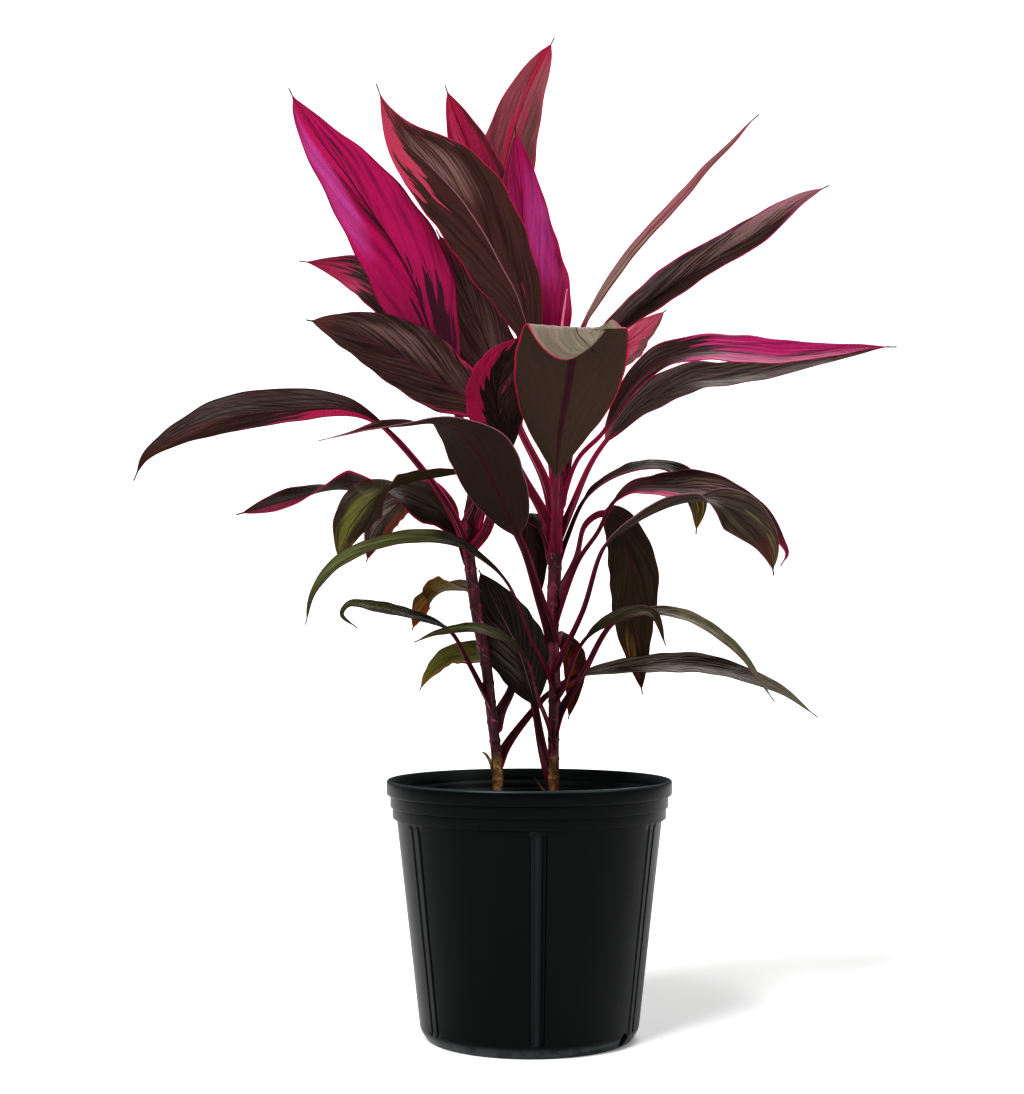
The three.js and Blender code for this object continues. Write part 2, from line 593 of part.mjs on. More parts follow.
add('pot', potGeometry(), 0x14181b, 0.4);
add('potting_soil', soilGeometry(), 0x4a3626, 0.95);
add('cane_right', stemGeometry(RIGHT_CANE, 0), 0x8a6a45, 0.85);
add('cane_left', stemGeometry(LEFT_CANE, 0), 0x8a6a45, 0.85);
add('dry_twig', stemGeometry(TWIG, 0), 0x7a5a38, 0.9);
addLeaves(LEFT_CANE, LEFT_LEAVES);
const crown = addLeaves(RIGHT_CANE, RIGHT_LEAVES);
const spear = toSolid(stemGeometry(SPEAR, 0)).subtract(crown);
add('new_leaf_spear', toGeometry(largestPiece(spear)), 0xb06a7a, 0.5);

export default group;
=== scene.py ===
# Potted red sister ti plant, Cordyline fruticosa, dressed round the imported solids.
# Sizes and places of pieces are in millimetres and become metres where a mesh is made.
# Sizes inside materials and node trees are in metres.
import math

import bmesh
import bpy
import numpy as np
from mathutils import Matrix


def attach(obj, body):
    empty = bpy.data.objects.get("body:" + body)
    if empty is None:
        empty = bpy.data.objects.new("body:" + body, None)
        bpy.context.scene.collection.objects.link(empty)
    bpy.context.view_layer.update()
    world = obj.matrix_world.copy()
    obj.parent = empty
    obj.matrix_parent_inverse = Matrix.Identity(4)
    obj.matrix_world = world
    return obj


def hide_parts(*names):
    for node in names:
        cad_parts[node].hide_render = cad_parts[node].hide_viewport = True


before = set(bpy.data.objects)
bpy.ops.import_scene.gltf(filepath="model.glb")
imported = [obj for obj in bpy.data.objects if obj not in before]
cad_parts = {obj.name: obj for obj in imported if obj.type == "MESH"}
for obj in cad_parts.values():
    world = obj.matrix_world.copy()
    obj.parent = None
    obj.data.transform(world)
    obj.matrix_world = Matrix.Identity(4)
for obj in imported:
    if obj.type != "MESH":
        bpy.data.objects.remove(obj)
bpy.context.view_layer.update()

# The pot: a moulded nursery pot of satin black plastic, with a rolled rim, two stepped
# bands under it, pairs of grooves down the wall that leave six ribs, a chamfered foot
# and two drain holes. The wall is one turned skin, a little scuffed from handling.
METRES = 0.001
POT_HEIGHT = 238
RIM_RADIUS = 133.5
RIM_BOTTOM = 223.5
UPPER_BAND_RADIUS = 130
UPPER_BAND_BOTTOM = 212.5
LOWER_BAND_RADIUS = 128
LOWER_BAND_BOTTOM = 202
BODY_TOP_RADIUS = 124
BODY_FOOT_RADIUS = 102
BODY_MIDDLE_RADIUS = (BODY_TOP_RADIUS + BODY_FOOT_RADIUS) / 2
FOOT_HEIGHT = 12
BASE_RADIUS = 95.5
WALL = 3
RIB_COUNT = 6
RIB_TURN = 3.3
RIB_ANGLES = [RIB_TURN + 360 / RIB_COUNT * i for i in range(RIB_COUNT)]
RIB_HALF_SPACING = 3.1
GROOVE_WIDTH = 4
GROOVE_DEPTH = 1.5
GROOVE_CORNER = 0.7
GROOVE_RUN_OUT = 2
POT_SEGMENTS = 120
LEAST_STEP = 0.4
# Painted highlights: how much lighter the lip's edges, and each rib with one of its grooves, are painted.
LIP_HIGHLIGHT = 0.9
RIB_HIGHLIGHT = 0.3
RIB_HIGHLIGHT_REACH = 7
DRAIN_RADIUS = 6
DRAIN_ANGLES = (-33, 147)
DRAIN_HEIGHT = 8
DRAIN_SIDES = 48
POT_SHARP_ANGLE = 38
POT_BLACK = "#040607"
POT_SCUFF = "#12181a"
# The pale grey of the painted highlights, the painted reflection inside and the paler foot.
POT_HIGHLIGHT_GREY = "#4c5354"


def paint(code):
    """Linear colour of a #rrggbb paint code."""
    channels = [int(code[i:i + 2], 16) / 255 for i in (1, 3, 5)]
    linear = [c / 12.92 if c <= 0.04045 else ((c + 0.055) / 1.055) ** 2.4 for c in channels]
    return (*linear, 1)


def feed(tree, node, inputs):
    """Gives inputs of a node their values, or links them to the outputs of other nodes."""
    for key, value in inputs.items():
        if isinstance(value, bpy.types.NodeSocket):
            tree.links.new(value, node.inputs[key])
        else:
            node.inputs[key].default_value = value


def put(tree, kind, inputs=None, **settings):
    """A new node in a tree, with its settings and inputs."""
    made = tree.nodes.new(kind)
    for key, value in settings.items():
        setattr(made, key, value)
    feed(tree, made, inputs or {})
    return made


def calc(tree, operation, *values):
    """The result of a Math node."""
    return put(tree, "ShaderNodeMath", dict(enumerate(values)), operation=operation).outputs[0]


def axes(tree, vector):
    """The three numbers of a vector."""
    return put(tree, "ShaderNodeSeparateXYZ", {0: vector}).outputs


def blend(tree, share, first, second, how="MIX"):
    """Two colours mixed by a share from 0 to 1."""
    mix = put(tree, "ShaderNodeMix", {0: share, 6: first, 7: second}, data_type="RGBA", blend_type=how)
    return mix.outputs[2]


def ease(tree, value, start, end):
    """A smooth step from 0 at start to 1 at end, which may be the lower of the two."""
    steps = {"Value": value, "From Min": start, "From Max": end}
    return put(tree, "ShaderNodeMapRange", steps, interpolation_type="SMOOTHSTEP").outputs[0]


def noise(tree, place, scale, detail=3, roughness=0.5):
    """A noise value at a place, from 0 to 1."""
    sizes = {"Vector": place, "Scale": scale, "Detail": detail, "Roughness": roughness}
    return put(tree, "ShaderNodeTexNoise", sizes).outputs[0]


def stretched(tree, place, scale):
    """A place with each axis scaled, so that noise there is drawn out along a small one."""
    return put(tree, "ShaderNodeMapping", {"Vector": place, "Scale": scale}).outputs[0]


def relief(tree, height, distance, strength=1):
    """A normal for relief of a real depth."""
    depth = {"Height": height, "Distance": distance, "Strength": strength}
    return put(tree, "ShaderNodeBump", depth).outputs[0]


def own_place(tree):
    """The place on the object."""
    return put(tree, "ShaderNodeTexCoord").outputs["Object"]


def own_mark(tree, name):
    """The number that a piece's mesh keeps under a name."""
    return put(tree, "ShaderNodeAttribute", attribute_name=name).outputs["Fac"]


def new_material(name):
    """A plain material, its node tree and its shader."""
    material = bpy.data.materials.new(name)
    material.use_nodes = True
    return material, material.node_tree, material.node_tree.nodes["Principled BSDF"]


def new_object(name, data):
    """An object in the scene."""
    made = bpy.data.objects.new(name, data)
    bpy.context.scene.collection.objects.link(made)
    return made


def mesh_object(name, points, faces, material):
    """A smooth object from points in millimetres, its faces turned outwards."""
    mesh = bpy.data.meshes.new(name)
    mesh.from_pydata((np.asarray(points, float) * METRES).tolist(), [], faces)
    shell = bmesh.new()
    shell.from_mesh(mesh)
    bmesh.ops.recalc_face_normals(shell, faces=shell.faces)
    shell.to_mesh(mesh)
    shell.free()
    mesh.shade_smooth()
    mesh.materials.append(material)
    return new_object(name, mesh)


def turned_faces(rows, count):
    """Faces of a closed turned shape: points 0 and 1 close its first and its last ring,
    and the rest are its rings of count points each."""
    faces = []
    last = 2 + (rows - 1) * count
    for j in range(count):
        k = (j + 1) % count
        faces.append((0, 2 + k, 2 + j))
        faces.append((1, last + j, last + k))
        for low in range(2, last, count):
            faces.append((low + j, low + k, low + count + k, low + count + j))
    return faces


def mark_points(mesh, name, values):
    """Keeps a number for each point of a mesh."""
    mesh.attributes.new(name, "FLOAT", "POINT").data.foreach_set("value", values)


def fasten(piece, node):
    """The piece stands for its solid, which it hides, and moves with the plant."""
    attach(piece, "root")
    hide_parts(node)


def pot_plastic():
    """Satin black plastic, even in gloss: flow marks, scuffs, painted highlights and reflection, a paler
    foot.
    """
    material, tree, shader = new_material("pot satin black plastic")
    place = own_place(tree)
    flow = noise(tree, stretched(tree, place, (1, 1, 0.25)), 14, 4)
    scuffs = noise(tree, place, 90, 8, 0.7)
    worn = calc(tree, "MULTIPLY", ease(tree, scuffs, 0.56, 0.74), ease(tree, flow, 0.4, 0.7))
    colour = blend(tree, calc(tree, "MULTIPLY", worn, 0.55), paint(POT_BLACK), paint(POT_SCUFF))
    # Paler patches towards the foot, a painted reflection in lines round the inside wall, and the painted
    # highlights marked on the lip and ribs.
    height = axes(tree, place)[2]
    pale_foot_patches = calc(tree, "MULTIPLY", ease(tree, height, 0.0115, 0.006), ease(tree, scuffs, 0.25, 0.6))
    painted_reflection_lines = noise(tree, stretched(tree, place, (0.03, 0.03, 1)), 260, 3)
    painted_highlight = calc(tree, "MULTIPLY", own_mark(tree, "inside"), ease(tree, painted_reflection_lines, 0.42, 0.62))
    painted_highlight = calc(tree, "MAXIMUM", painted_highlight, own_mark(tree, "painted_highlight"))
    painted_highlight = calc(tree, "MAXIMUM", painted_highlight, pale_foot_patches)
    colour = blend(tree, calc(tree, "MULTIPLY", painted_highlight, 0.6), colour, paint(POT_HIGHLIGHT_GREY))
    gloss = calc(tree, "MULTIPLY_ADD", worn, 0.14, calc(tree, "MULTIPLY_ADD", flow, 0.14, 0.28))
    grain = calc(tree, "MULTIPLY_ADD", noise(tree, place, 1400, 2), 0.5, scuffs)
    feed(tree, shader, {"Base Color": colour, "Roughness": gloss, "Specular IOR Level": 0.16,
                        "Normal": relief(tree, grain, 0.00012, 0.5)})
    return material


def pot_profile():
    """Radius and height round the pot's wall, from the centre of the base, up the
    outside, over the rolled rim and down the inside."""
    side = [
        (0, 0), (60, 0), (BASE_RADIUS - 1.5, 0), (BASE_RADIUS, 0.5),
        (BODY_FOOT_RADIUS - 2, FOOT_HEIGHT - 5.4), (BODY_FOOT_RADIUS - 1, FOOT_HEIGHT - 3.4),
        (BODY_FOOT_RADIUS, FOOT_HEIGHT - 0.6),
    ]
    rise = LOWER_BAND_BOTTOM - FOOT_HEIGHT
    for share in (0.004, 0.012, 0.03, 0.25, 0.5, 0.75, 0.97, 0.99):
        spread = (BODY_TOP_RADIUS - BODY_FOOT_RADIUS) * share
        side.append((BODY_FOOT_RADIUS + spread, FOOT_HEIGHT + rise * share))
    side += [
        (BODY_TOP_RADIUS, LOWER_BAND_BOTTOM - 0.4), (BODY_TOP_RADIUS + 0.5, LOWER_BAND_BOTTOM),
        (LOWER_BAND_RADIUS - 0.5, LOWER_BAND_BOTTOM + 0.6), (LOWER_BAND_RADIUS, LOWER_BAND_BOTTOM + 1.4),
        (LOWER_BAND_RADIUS, UPPER_BAND_BOTTOM - 0.3), (LOWER_BAND_RADIUS + 0.4, UPPER_BAND_BOTTOM),
        (UPPER_BAND_RADIUS - 0.4, UPPER_BAND_BOTTOM + 0.5), (UPPER_BAND_RADIUS, UPPER_BAND_BOTTOM + 1.2),
        (UPPER_BAND_RADIUS, RIM_BOTTOM - 0.3), (UPPER_BAND_RADIUS + 0.5, RIM_BOTTOM),
        (RIM_RADIUS - 1.4, RIM_BOTTOM + 0.3), (RIM_RADIUS - 0.4, RIM_BOTTOM + 1.1),
        (RIM_RADIUS, RIM_BOTTOM + 2.6), (RIM_RADIUS, POT_HEIGHT - 2.6),
        (RIM_RADIUS - 0.4, POT_HEIGHT - 1.1), (RIM_RADIUS - 1.2, POT_HEIGHT - 0.3),
        (RIM_RADIUS - 2.4, POT_HEIGHT), (RIM_RADIUS - 3.6, POT_HEIGHT - 0.3),
        (RIM_RADIUS - 4.3, POT_HEIGHT - 1.2),
    ]
    upper_inside = UPPER_BAND_RADIUS - WALL
    lower_inside = LOWER_BAND_RADIUS - WALL
    inside = [
        (upper_inside + 1.4, RIM_BOTTOM + 4), (upper_inside, RIM_BOTTOM + 2),
        (upper_inside, UPPER_BAND_BOTTOM + 1.6), (upper_inside - 0.3, UPPER_BAND_BOTTOM + 1),
        (lower_inside + 0.3, UPPER_BAND_BOTTOM + 0.4), (lower_inside, UPPER_BAND_BOTTOM - 0.4),
        (lower_inside, LOWER_BAND_BOTTOM + 1.6), (lower_inside - 0.6, LOWER_BAND_BOTTOM + 1),
        (BODY_TOP_RADIUS - WALL, LOWER_BAND_BOTTOM), (BODY_FOOT_RADIUS - WALL, FOOT_HEIGHT),
        (BASE_RADIUS - WALL, WALL), (0, WALL),
    ]
    return side + inside


def turn_between(angle, other):
    """How far an angle is turned from another one, from -180 to 180 degrees."""
    return (angle - other + 180) % 360 - 180


def pot_angles():
    """The angles of the wall's points: each edge of each groove, and even steps between."""
    stops = (RIB_HALF_SPACING, RIB_HALF_SPACING + GROOVE_CORNER,
             RIB_HALF_SPACING + GROOVE_WIDTH - GROOVE_CORNER, RIB_HALF_SPACING + GROOVE_WIDTH)
    edges = [math.degrees(side * stop / BODY_MIDDLE_RADIUS) for stop in stops for side in (-1, 1)]
    angles = [rib + edge for rib in RIB_ANGLES for edge in edges]
    for i in range(POT_SEGMENTS):
        angle = 360 / POT_SEGMENTS * i
        if min(abs(turn_between(angle, other)) for other in angles) > LEAST_STEP:
            angles.append(angle)
    return sorted(angle % 360 for angle in angles)


def groove_depth(across, height):
    """How far a groove sinks the outer wall, at a distance round from a rib's middle."""
    past = abs(abs(across) - RIB_HALF_SPACING - GROOVE_WIDTH / 2) - GROOVE_WIDTH / 2
    sunk = min(1, max(0, -past / GROOVE_CORNER))
    to_end = min(height - FOOT_HEIGHT, LOWER_BAND_BOTTOM - 1 - height)
    return GROOVE_DEPTH * sunk * min(1, max(0, to_end / GROOVE_RUN_OUT))


def drill_drains(pot):
    """Cuts the drain holes through the wall, just above the base."""
    across = (BASE_RADIUS + 2) * METRES
    for angle in DRAIN_ANGLES:
        turn = math.radians(angle)
        bpy.ops.mesh.primitive_cylinder_add(
            vertices=DRAIN_SIDES, radius=DRAIN_RADIUS * METRES, depth=WALL * 6 * METRES,
            location=(across * math.cos(turn), across * math.sin(turn), DRAIN_HEIGHT * METRES),
            rotation=(0, math.pi / 2, turn))
        drill = bpy.context.object
        cut = pot.modifiers.new("drain", "BOOLEAN")
        cut.object = drill
        cut.solver = "EXACT"
        bpy.context.view_layer.objects.active = pot
        bpy.ops.object.modifier_apply(modifier=cut.name)
        bpy.data.objects.remove(drill)


def make_pot():
    """The turned wall with its grooves, marked for painted highlights and where it is inside."""
    profile = pot_profile()
    lip = next(i for i, (radius, height) in enumerate(profile) if height == POT_HEIGHT)
    angles = pot_angles()
    points = [(0, 0, 0), (0, 0, WALL)]
    painted_highlight, inside = [0, 0], [0, 0]
    for i, (radius, height) in enumerate(profile[1:-1], 1):
        # The lip's edges, and each rib with the wall over one of its grooves, are marked for a painted
        # highlight.
        on_lip = abs(i - lip) in (1, 2)
        on_wall = i < lip and FOOT_HEIGHT < height < LOWER_BAND_BOTTOM
        for angle in angles:
            off = min((turn_between(angle, rib) for rib in RIB_ANGLES), key=abs)
            across = math.radians(off) * BODY_MIDDLE_RADIUS
            on_rib = on_wall and -RIB_HIGHLIGHT_REACH < across < RIB_HALF_SPACING
            painted_highlight.append(LIP_HIGHLIGHT if on_lip else RIB_HIGHLIGHT if on_rib else 0)
            inside.append(float(i > lip + 2))
            reach = radius - (groove_depth(across, height) if i < lip else 0)
            turn = math.radians(angle - 90)
            points.append((reach * math.cos(turn), reach * math.sin(turn), height))
    faces = turned_faces(len(profile) - 2, len(angles))
    pot = mesh_object("nursery_pot", points, faces, pot_plastic())
    mark_points(pot.data, "painted_highlight", painted_highlight)
    mark_points(pot.data, "inside", inside)
    drill_drains(pot)
    pot.data.set_sharp_from_angle(angle=math.radians(POT_SHARP_ANGLE))
    return pot


fasten(make_pot(), "pot")

# The potting mix: composted bark, peat and a little perlite. It fills the pot to 38 mm
# under the rim, as one plug, and its loose crumbs are scattered on top by one node tree
# with a fixed seed.
CLEARANCE = 0.3
SOIL_TOP = 200
SOIL_CROWN = 4
SOIL_RELIEF = 1.6
SOIL_WAVES = (7, 9)
SOIL_ROWS = 26
SOIL_COLUMNS = 96
CRUMBS = {"Chips": 16000.0, "Crumbs": 60000.0, "Perlite": 2600.0, "Raggedness": 0.0016,
          "Reach": 0.1155, "Seed": 7}
CRUMB_LEAN = 0.7


def soil_skin(name, dark, light, scale):
    """Damp crumbly matter: mottled, rough all over."""
    material, tree, shader = new_material(name)
    place = own_place(tree)
    speck = noise(tree, place, scale, 5, 0.6)
    feed(tree, shader, {
        "Base Color": blend(tree, ease(tree, speck, 0.38, 0.66), paint(dark), paint(light)),
        "Roughness": calc(tree, "MULTIPLY_ADD", speck, 0.2, 0.72), "Specular IOR Level": 0.25,
        "Normal": relief(tree, noise(tree, place, scale * 3, 6, 0.7), 0.0008, 0.8)})
    return material


def soil_plug():
    """The mix as one closed plug that follows the wall, with a low, uneven crown."""
    slope = (BODY_TOP_RADIUS - BODY_FOOT_RADIUS) / (LOWER_BAND_BOTTOM - FOOT_HEIGHT)
    foot = BODY_FOOT_RADIUS - WALL - CLEARANCE
    edge = foot + slope * (SOIL_TOP - FOOT_HEIGHT)
    wall = [(BASE_RADIUS - WALL - CLEARANCE, WALL + CLEARANCE), (foot, FOOT_HEIGHT), (edge, SOIL_TOP - 0.5),
            (edge, SOIL_TOP)]
    inward = [1 - i / SOIL_ROWS for i in range(1, SOIL_ROWS)]
    rows = wall + [(edge * share, SOIL_TOP + SOIL_CROWN * (1 - share)) for share in inward]
    points = [(0, 0, WALL + CLEARANCE), (0, 0, SOIL_TOP + SOIL_CROWN)]
    for i, (radius, height) in enumerate(rows):
        for j in range(SOIL_COLUMNS):
            turn = math.tau * j / SOIL_COLUMNS
            x, y = radius * math.cos(turn), radius * math.sin(turn)
            uneven = SOIL_RELIEF * math.sin(x / SOIL_WAVES[0]) * math.cos(y / SOIL_WAVES[1])
            points.append((x, y, height + (uneven if i >= len(wall) else 0)))
    peat = soil_skin("damp peat", "#120c08", "#2c1f16", 260)
    return mesh_object("potting_mix", points, turned_faces(len(rows), SOIL_COLUMNS), peat)


def new_tree(name, sizes):
    """A geometry node tree with named number inputs after its geometry."""
    tree = bpy.data.node_groups.new(name, "GeometryNodeTree")
    tree.interface.new_socket("Geometry", in_out="INPUT", socket_type="NodeSocketGeometry")
    tree.interface.new_socket("Geometry", in_out="OUTPUT", socket_type="NodeSocketGeometry")
    for label, value in sizes.items():
        kind = "NodeSocketInt" if isinstance(value, int) else "NodeSocketFloat"
        tree.interface.new_socket(label, in_out="INPUT", socket_type=kind).default_value = value
    return tree, put(tree, "NodeGroupInput").outputs


def grow_with(piece, tree, sizes):
    """Runs a node tree on a piece with these sizes and returns the plain result."""
    grower = piece.modifiers.new(tree.name, "NODES")
    grower.node_group = tree
    for item in tree.interface.items_tree:
        if item.in_out == "INPUT" and item.name in sizes:
            grower[item.identifier] = sizes[item.name]
    shape = piece.evaluated_get(bpy.context.evaluated_depsgraph_get())
    name = piece.name
    grown = new_object(name + "_grown", bpy.data.meshes.new_from_object(shape))
    bpy.data.objects.remove(piece)
    grown.name = grown.data.name = name
    return grown


def looking_up(tree, reach):
    """1 on the faces that look up within a reach of the pot's axis, and 0 elsewhere."""
    normal = axes(tree, put(tree, "GeometryNodeInputNormal").outputs[0])
    spot = axes(tree, put(tree, "GeometryNodeInputPosition").outputs[0])
    square = calc(tree, "MULTIPLY_ADD", spot[0], spot[0], calc(tree, "MULTIPLY", spot[1], spot[1]))
    return calc(tree, "MULTIPLY", calc(tree, "GREATER_THAN", normal[2], 0.5),
                calc(tree, "LESS_THAN", calc(tree, "SQRT", square), reach))


def random_vector(tree, least, most, seed):
    """A vector for each point, drawn between two others."""
    draw = put(tree, "FunctionNodeRandomValue", {0: least, 1: most, "Seed": seed}, data_type="FLOAT_VECTOR")
    return draw.outputs[0]


def made_ragged(tree, shape, amount):
    """A shape with its points pushed about by noise."""
    spot = put(tree, "GeometryNodeInputPosition").outputs[0]
    ragged = put(tree, "ShaderNodeTexNoise", {"Vector": spot, "Scale": 420, "Detail": 2})
    offset = put(tree, "ShaderNodeVectorMath", {0: ragged.outputs[1], 1: (0.5, 0.5, 0.5)},
                 operation="SUBTRACT")
    scaled = put(tree, "ShaderNodeVectorMath", {0: offset.outputs[0], "Scale": amount}, operation="SCALE")
    return put(tree, "GeometryNodeSetPosition", {"Geometry": shape, "Offset": scaled.outputs[0]}).outputs[0]


def crumb_tree():
    """Chips, crumbs and perlite on the faces that look up, turned and sized at random."""
    tree, given = new_tree("soil crumbs", CRUMBS)
    upward = looking_up(tree, given["Reach"])
    kinds = (
        ("Chips", 2, (0.003, 0.0016, 0.0008), (0.0075, 0.0036, 0.002),
         soil_skin("bark chip", "#2a180e", "#5e3a22", 90)),
        ("Crumbs", 1, (0.0008, 0.0008, 0.0006), (0.0026, 0.002, 0.0016),
         soil_skin("peat crumb", "#160e09", "#3a281b", 120)),
        ("Perlite", 2, (0.0012, 0.0012, 0.001), (0.0026, 0.0024, 0.002),
         soil_skin("perlite", "#a8a294", "#d6d1c4", 200)),
    )
    loose = put(tree, "GeometryNodeJoinGeometry")
    for order, (label, detail, least, most, skin) in enumerate(kinds):
        seed = calc(tree, "ADD", given["Seed"], order * 10)
        spread = put(tree, "GeometryNodeDistributePointsOnFaces",
                     {"Mesh": given["Geometry"], "Selection": upward, "Density": given[label], "Seed": seed})
        turn = random_vector(tree, (-CRUMB_LEAN, -CRUMB_LEAN, 0), (CRUMB_LEAN, CRUMB_LEAN, math.tau), seed)
        size = random_vector(tree, least, most, seed)
        grain = put(tree, "GeometryNodeMeshIcoSphere", {"Radius": 1, "Subdivisions": detail})
        painted = put(tree, "GeometryNodeSetMaterial", {"Geometry": grain.outputs[0], "Material": skin})
        laid = put(tree, "GeometryNodeInstanceOnPoints", {
            "Points": spread.outputs[0], "Instance": painted.outputs[0], "Rotation": turn, "Scale": size})
        tree.links.new(laid.outputs[0], loose.inputs[0])
    real = put(tree, "GeometryNodeRealizeInstances", {"Geometry": loose.outputs[0]})
    ragged = made_ragged(tree, real.outputs[0], given["Raggedness"])
    whole = put(tree, "GeometryNodeJoinGeometry", {0: ragged})
    tree.links.new(given["Geometry"], whole.inputs[0])
    put(tree, "NodeGroupOutput", {0: whole.outputs[0]})
    return tree


fasten(grow_with(soil_plug(), crumb_tree(), CRUMBS), "potting_soil")

# The two canes: corky tan bark with ring scars where old leaves fell, and above it the
# maroon bases of the living leaves, wrapped one over the next. Each is one round stem
# that follows its path, with its rings raised by a node tree.
RIGHT_CANE = dict(
    radius=(5.4, 5.2, 5.4, 6, 6.4, 4.2),
    path=((23, 10, 148), (23, 10, 226), (23, 10, 272), (24, 10, 333), (22, 10, 376), (25, 10, 444),
          (28, 10, 501), (29, 10, 529)))
LEFT_CANE = dict(
    radius=(5.2, 5, 5, 5.4, 5.6, 4),
    path=((-30, -10, 148), (-30, -10, 250), (-35, -10, 297), (-41, -10, 349), (-48, -10, 386),
          (-56, -10, 443), (-58, -10, 476), (-54, -10, 505)))
STEM = {"Step": 0.0012, "Ring Spacing": 0.018, "Ring Height": 0.0005, "Ring Width": 0.0022,
        "Lumps": 0.0005, "Sides": 24}
CANE_SIZES = {"Ring Height": 0.0007, "Sides": 28}
PATH_SAMPLES = 240
STEM_SAMPLES = 60
SHEATH_START = 0.262
SHEATH_FADE = 0.012
TAN_CORK = ("#543a24", "#a17e52")
CORK_FIBRE = "#6b4c2e"
CORK_FLECK = "#452f1f"
SHEATH_DARK = "#3b1521"
SHEATH_RED = "#7e2f47"
SHEATH_EDGE = "#c58f88"
FLAKE_PATH = ((-34.5, -13, 247), (-36, -15, 253), (-38, -15, 258), (-41, -14, 262), (-44, -13, 264))
FLAKE_WIDTHS = (4, 4.5, 4, 3, 1)
FLAKE_ACROSS = (0.35, 0.3, 0.9)
FLAKE_SECTION = ((-0.5, -1), (0, -1.4), (0.5, -1), (0.5, 1), (0, 0.6), (-0.5, 1))
FLAKE_HALF_THICKNESS = 0.3
FLAKE_SAMPLES = 30


def smooth_path(points, samples=PATH_SAMPLES):
    """Points along the centripetal Catmull-Rom curve through the given ones, and the
    length run so far at each."""
    knots = np.array(points, float)
    knots = np.vstack([2 * knots[0] - knots[1], knots, 2 * knots[-1] - knots[-2]])
    spans = np.sqrt(np.linalg.norm(np.diff(knots, axis=0), axis=1))
    places = []
    for step in range(samples + 1):
        along = step / samples * (len(points) - 1)
        i = min(int(along), len(points) - 2)
        share = along - i
        a, b, c, d = knots[i:i + 4]
        before, here, after = spans[i:i + 3]
        leave = ((b - a) / before - (c - a) / (before + here) + (c - b) / here) * here
        arrive = ((c - b) / here - (d - b) / (here + after) + (d - c) / after) * here
        places.append(b + leave * share + (3 * (c - b) - 2 * leave - arrive) * share ** 2
                      + (2 * (b - c) + leave + arrive) * share ** 3)
    places = np.array(places)
    run = np.concatenate([[0], np.cumsum(np.linalg.norm(np.diff(places, axis=0), axis=1))])
    return places, run


def along_list(values, share):
    """The value at a share of the way along a list of values at even steps."""
    return np.interp(share, np.linspace(0, 1, len(values)), values)


def lofted_faces(rows, count):
    """Faces between rings of count points each, from each ring to the next."""
    return [(low + j, low + (j + 1) % count, low + count + (j + 1) % count, low + count + j)
            for low in range(0, (rows - 1) * count, count) for j in range(count)]


def cork_colour(tree, place, patches, fibre, cork):
    """Patchy cork with brown fibres and dark flecks."""
    bark = blend(tree, ease(tree, patches, 0.38, 0.6), paint(cork[0]), paint(cork[1]))
    bark = blend(tree, ease(tree, fibre, 0.45, 0.7), bark, paint(CORK_FIBRE))
    return blend(tree, ease(tree, noise(tree, place, 300, 4, 0.7), 0.5, 0.66), bark, paint(CORK_FLECK))


def sheath_colour(tree, place, patches, fibre):
    """The strands of the leaf bases, with a thin pale edge on a slant here and there."""
    across, _, height = axes(tree, place)
    slant = calc(tree, "MULTIPLY_ADD", across, 1.4, height)
    wander = calc(tree, "MULTIPLY_ADD", patches, 0.03, slant)
    edge = ease(tree, calc(tree, "PINGPONG", wander, 0.013), 0.0007, 0.0001)
    edge = calc(tree, "MULTIPLY", edge, ease(tree, fibre, 0.45, 0.6))
    strands = noise(tree, stretched(tree, place, (1, 1, 0.04)), 330, 2)
    sheath = blend(tree, ease(tree, strands, 0.42, 0.68), paint(SHEATH_DARK), paint(SHEATH_RED))
    sheath = blend(tree, ease(tree, patches, 0.4, 0.65), sheath, paint(SHEATH_DARK))
    return blend(tree, calc(tree, "MULTIPLY", edge, 0.6), sheath, paint(SHEATH_EDGE))


def cane_bark(name, cork=TAN_CORK, sheath_start=SHEATH_START):
    """Rough cork up to sheath_start, and the smoother leaf bases above it."""
    material, tree, shader = new_material(name)
    place = own_place(tree)
    fibre = noise(tree, stretched(tree, place, (1, 1, 0.12)), 900, 4, 0.6)
    patches = noise(tree, place, 70, 4)
    height = calc(tree, "MULTIPLY_ADD", patches, 0.02, axes(tree, place)[2])
    change = ease(tree, height, sheath_start, sheath_start + SHEATH_FADE)
    rough = calc(tree, "MULTIPLY_ADD", patches, 1.5, fibre)
    rough = calc(tree, "SUBTRACT", rough, calc(tree, "MULTIPLY", change, fibre))
    feed(tree, shader, {
        "Base Color": blend(tree, change, cork_colour(tree, place, patches, fibre, cork),
                            sheath_colour(tree, place, patches, fibre)),
        "Roughness": calc(tree, "MULTIPLY_ADD", change, -0.4, 0.85), "Specular IOR Level": 0.35,
        "Normal": relief(tree, rough, 0.0005, 0.7)})
    return material


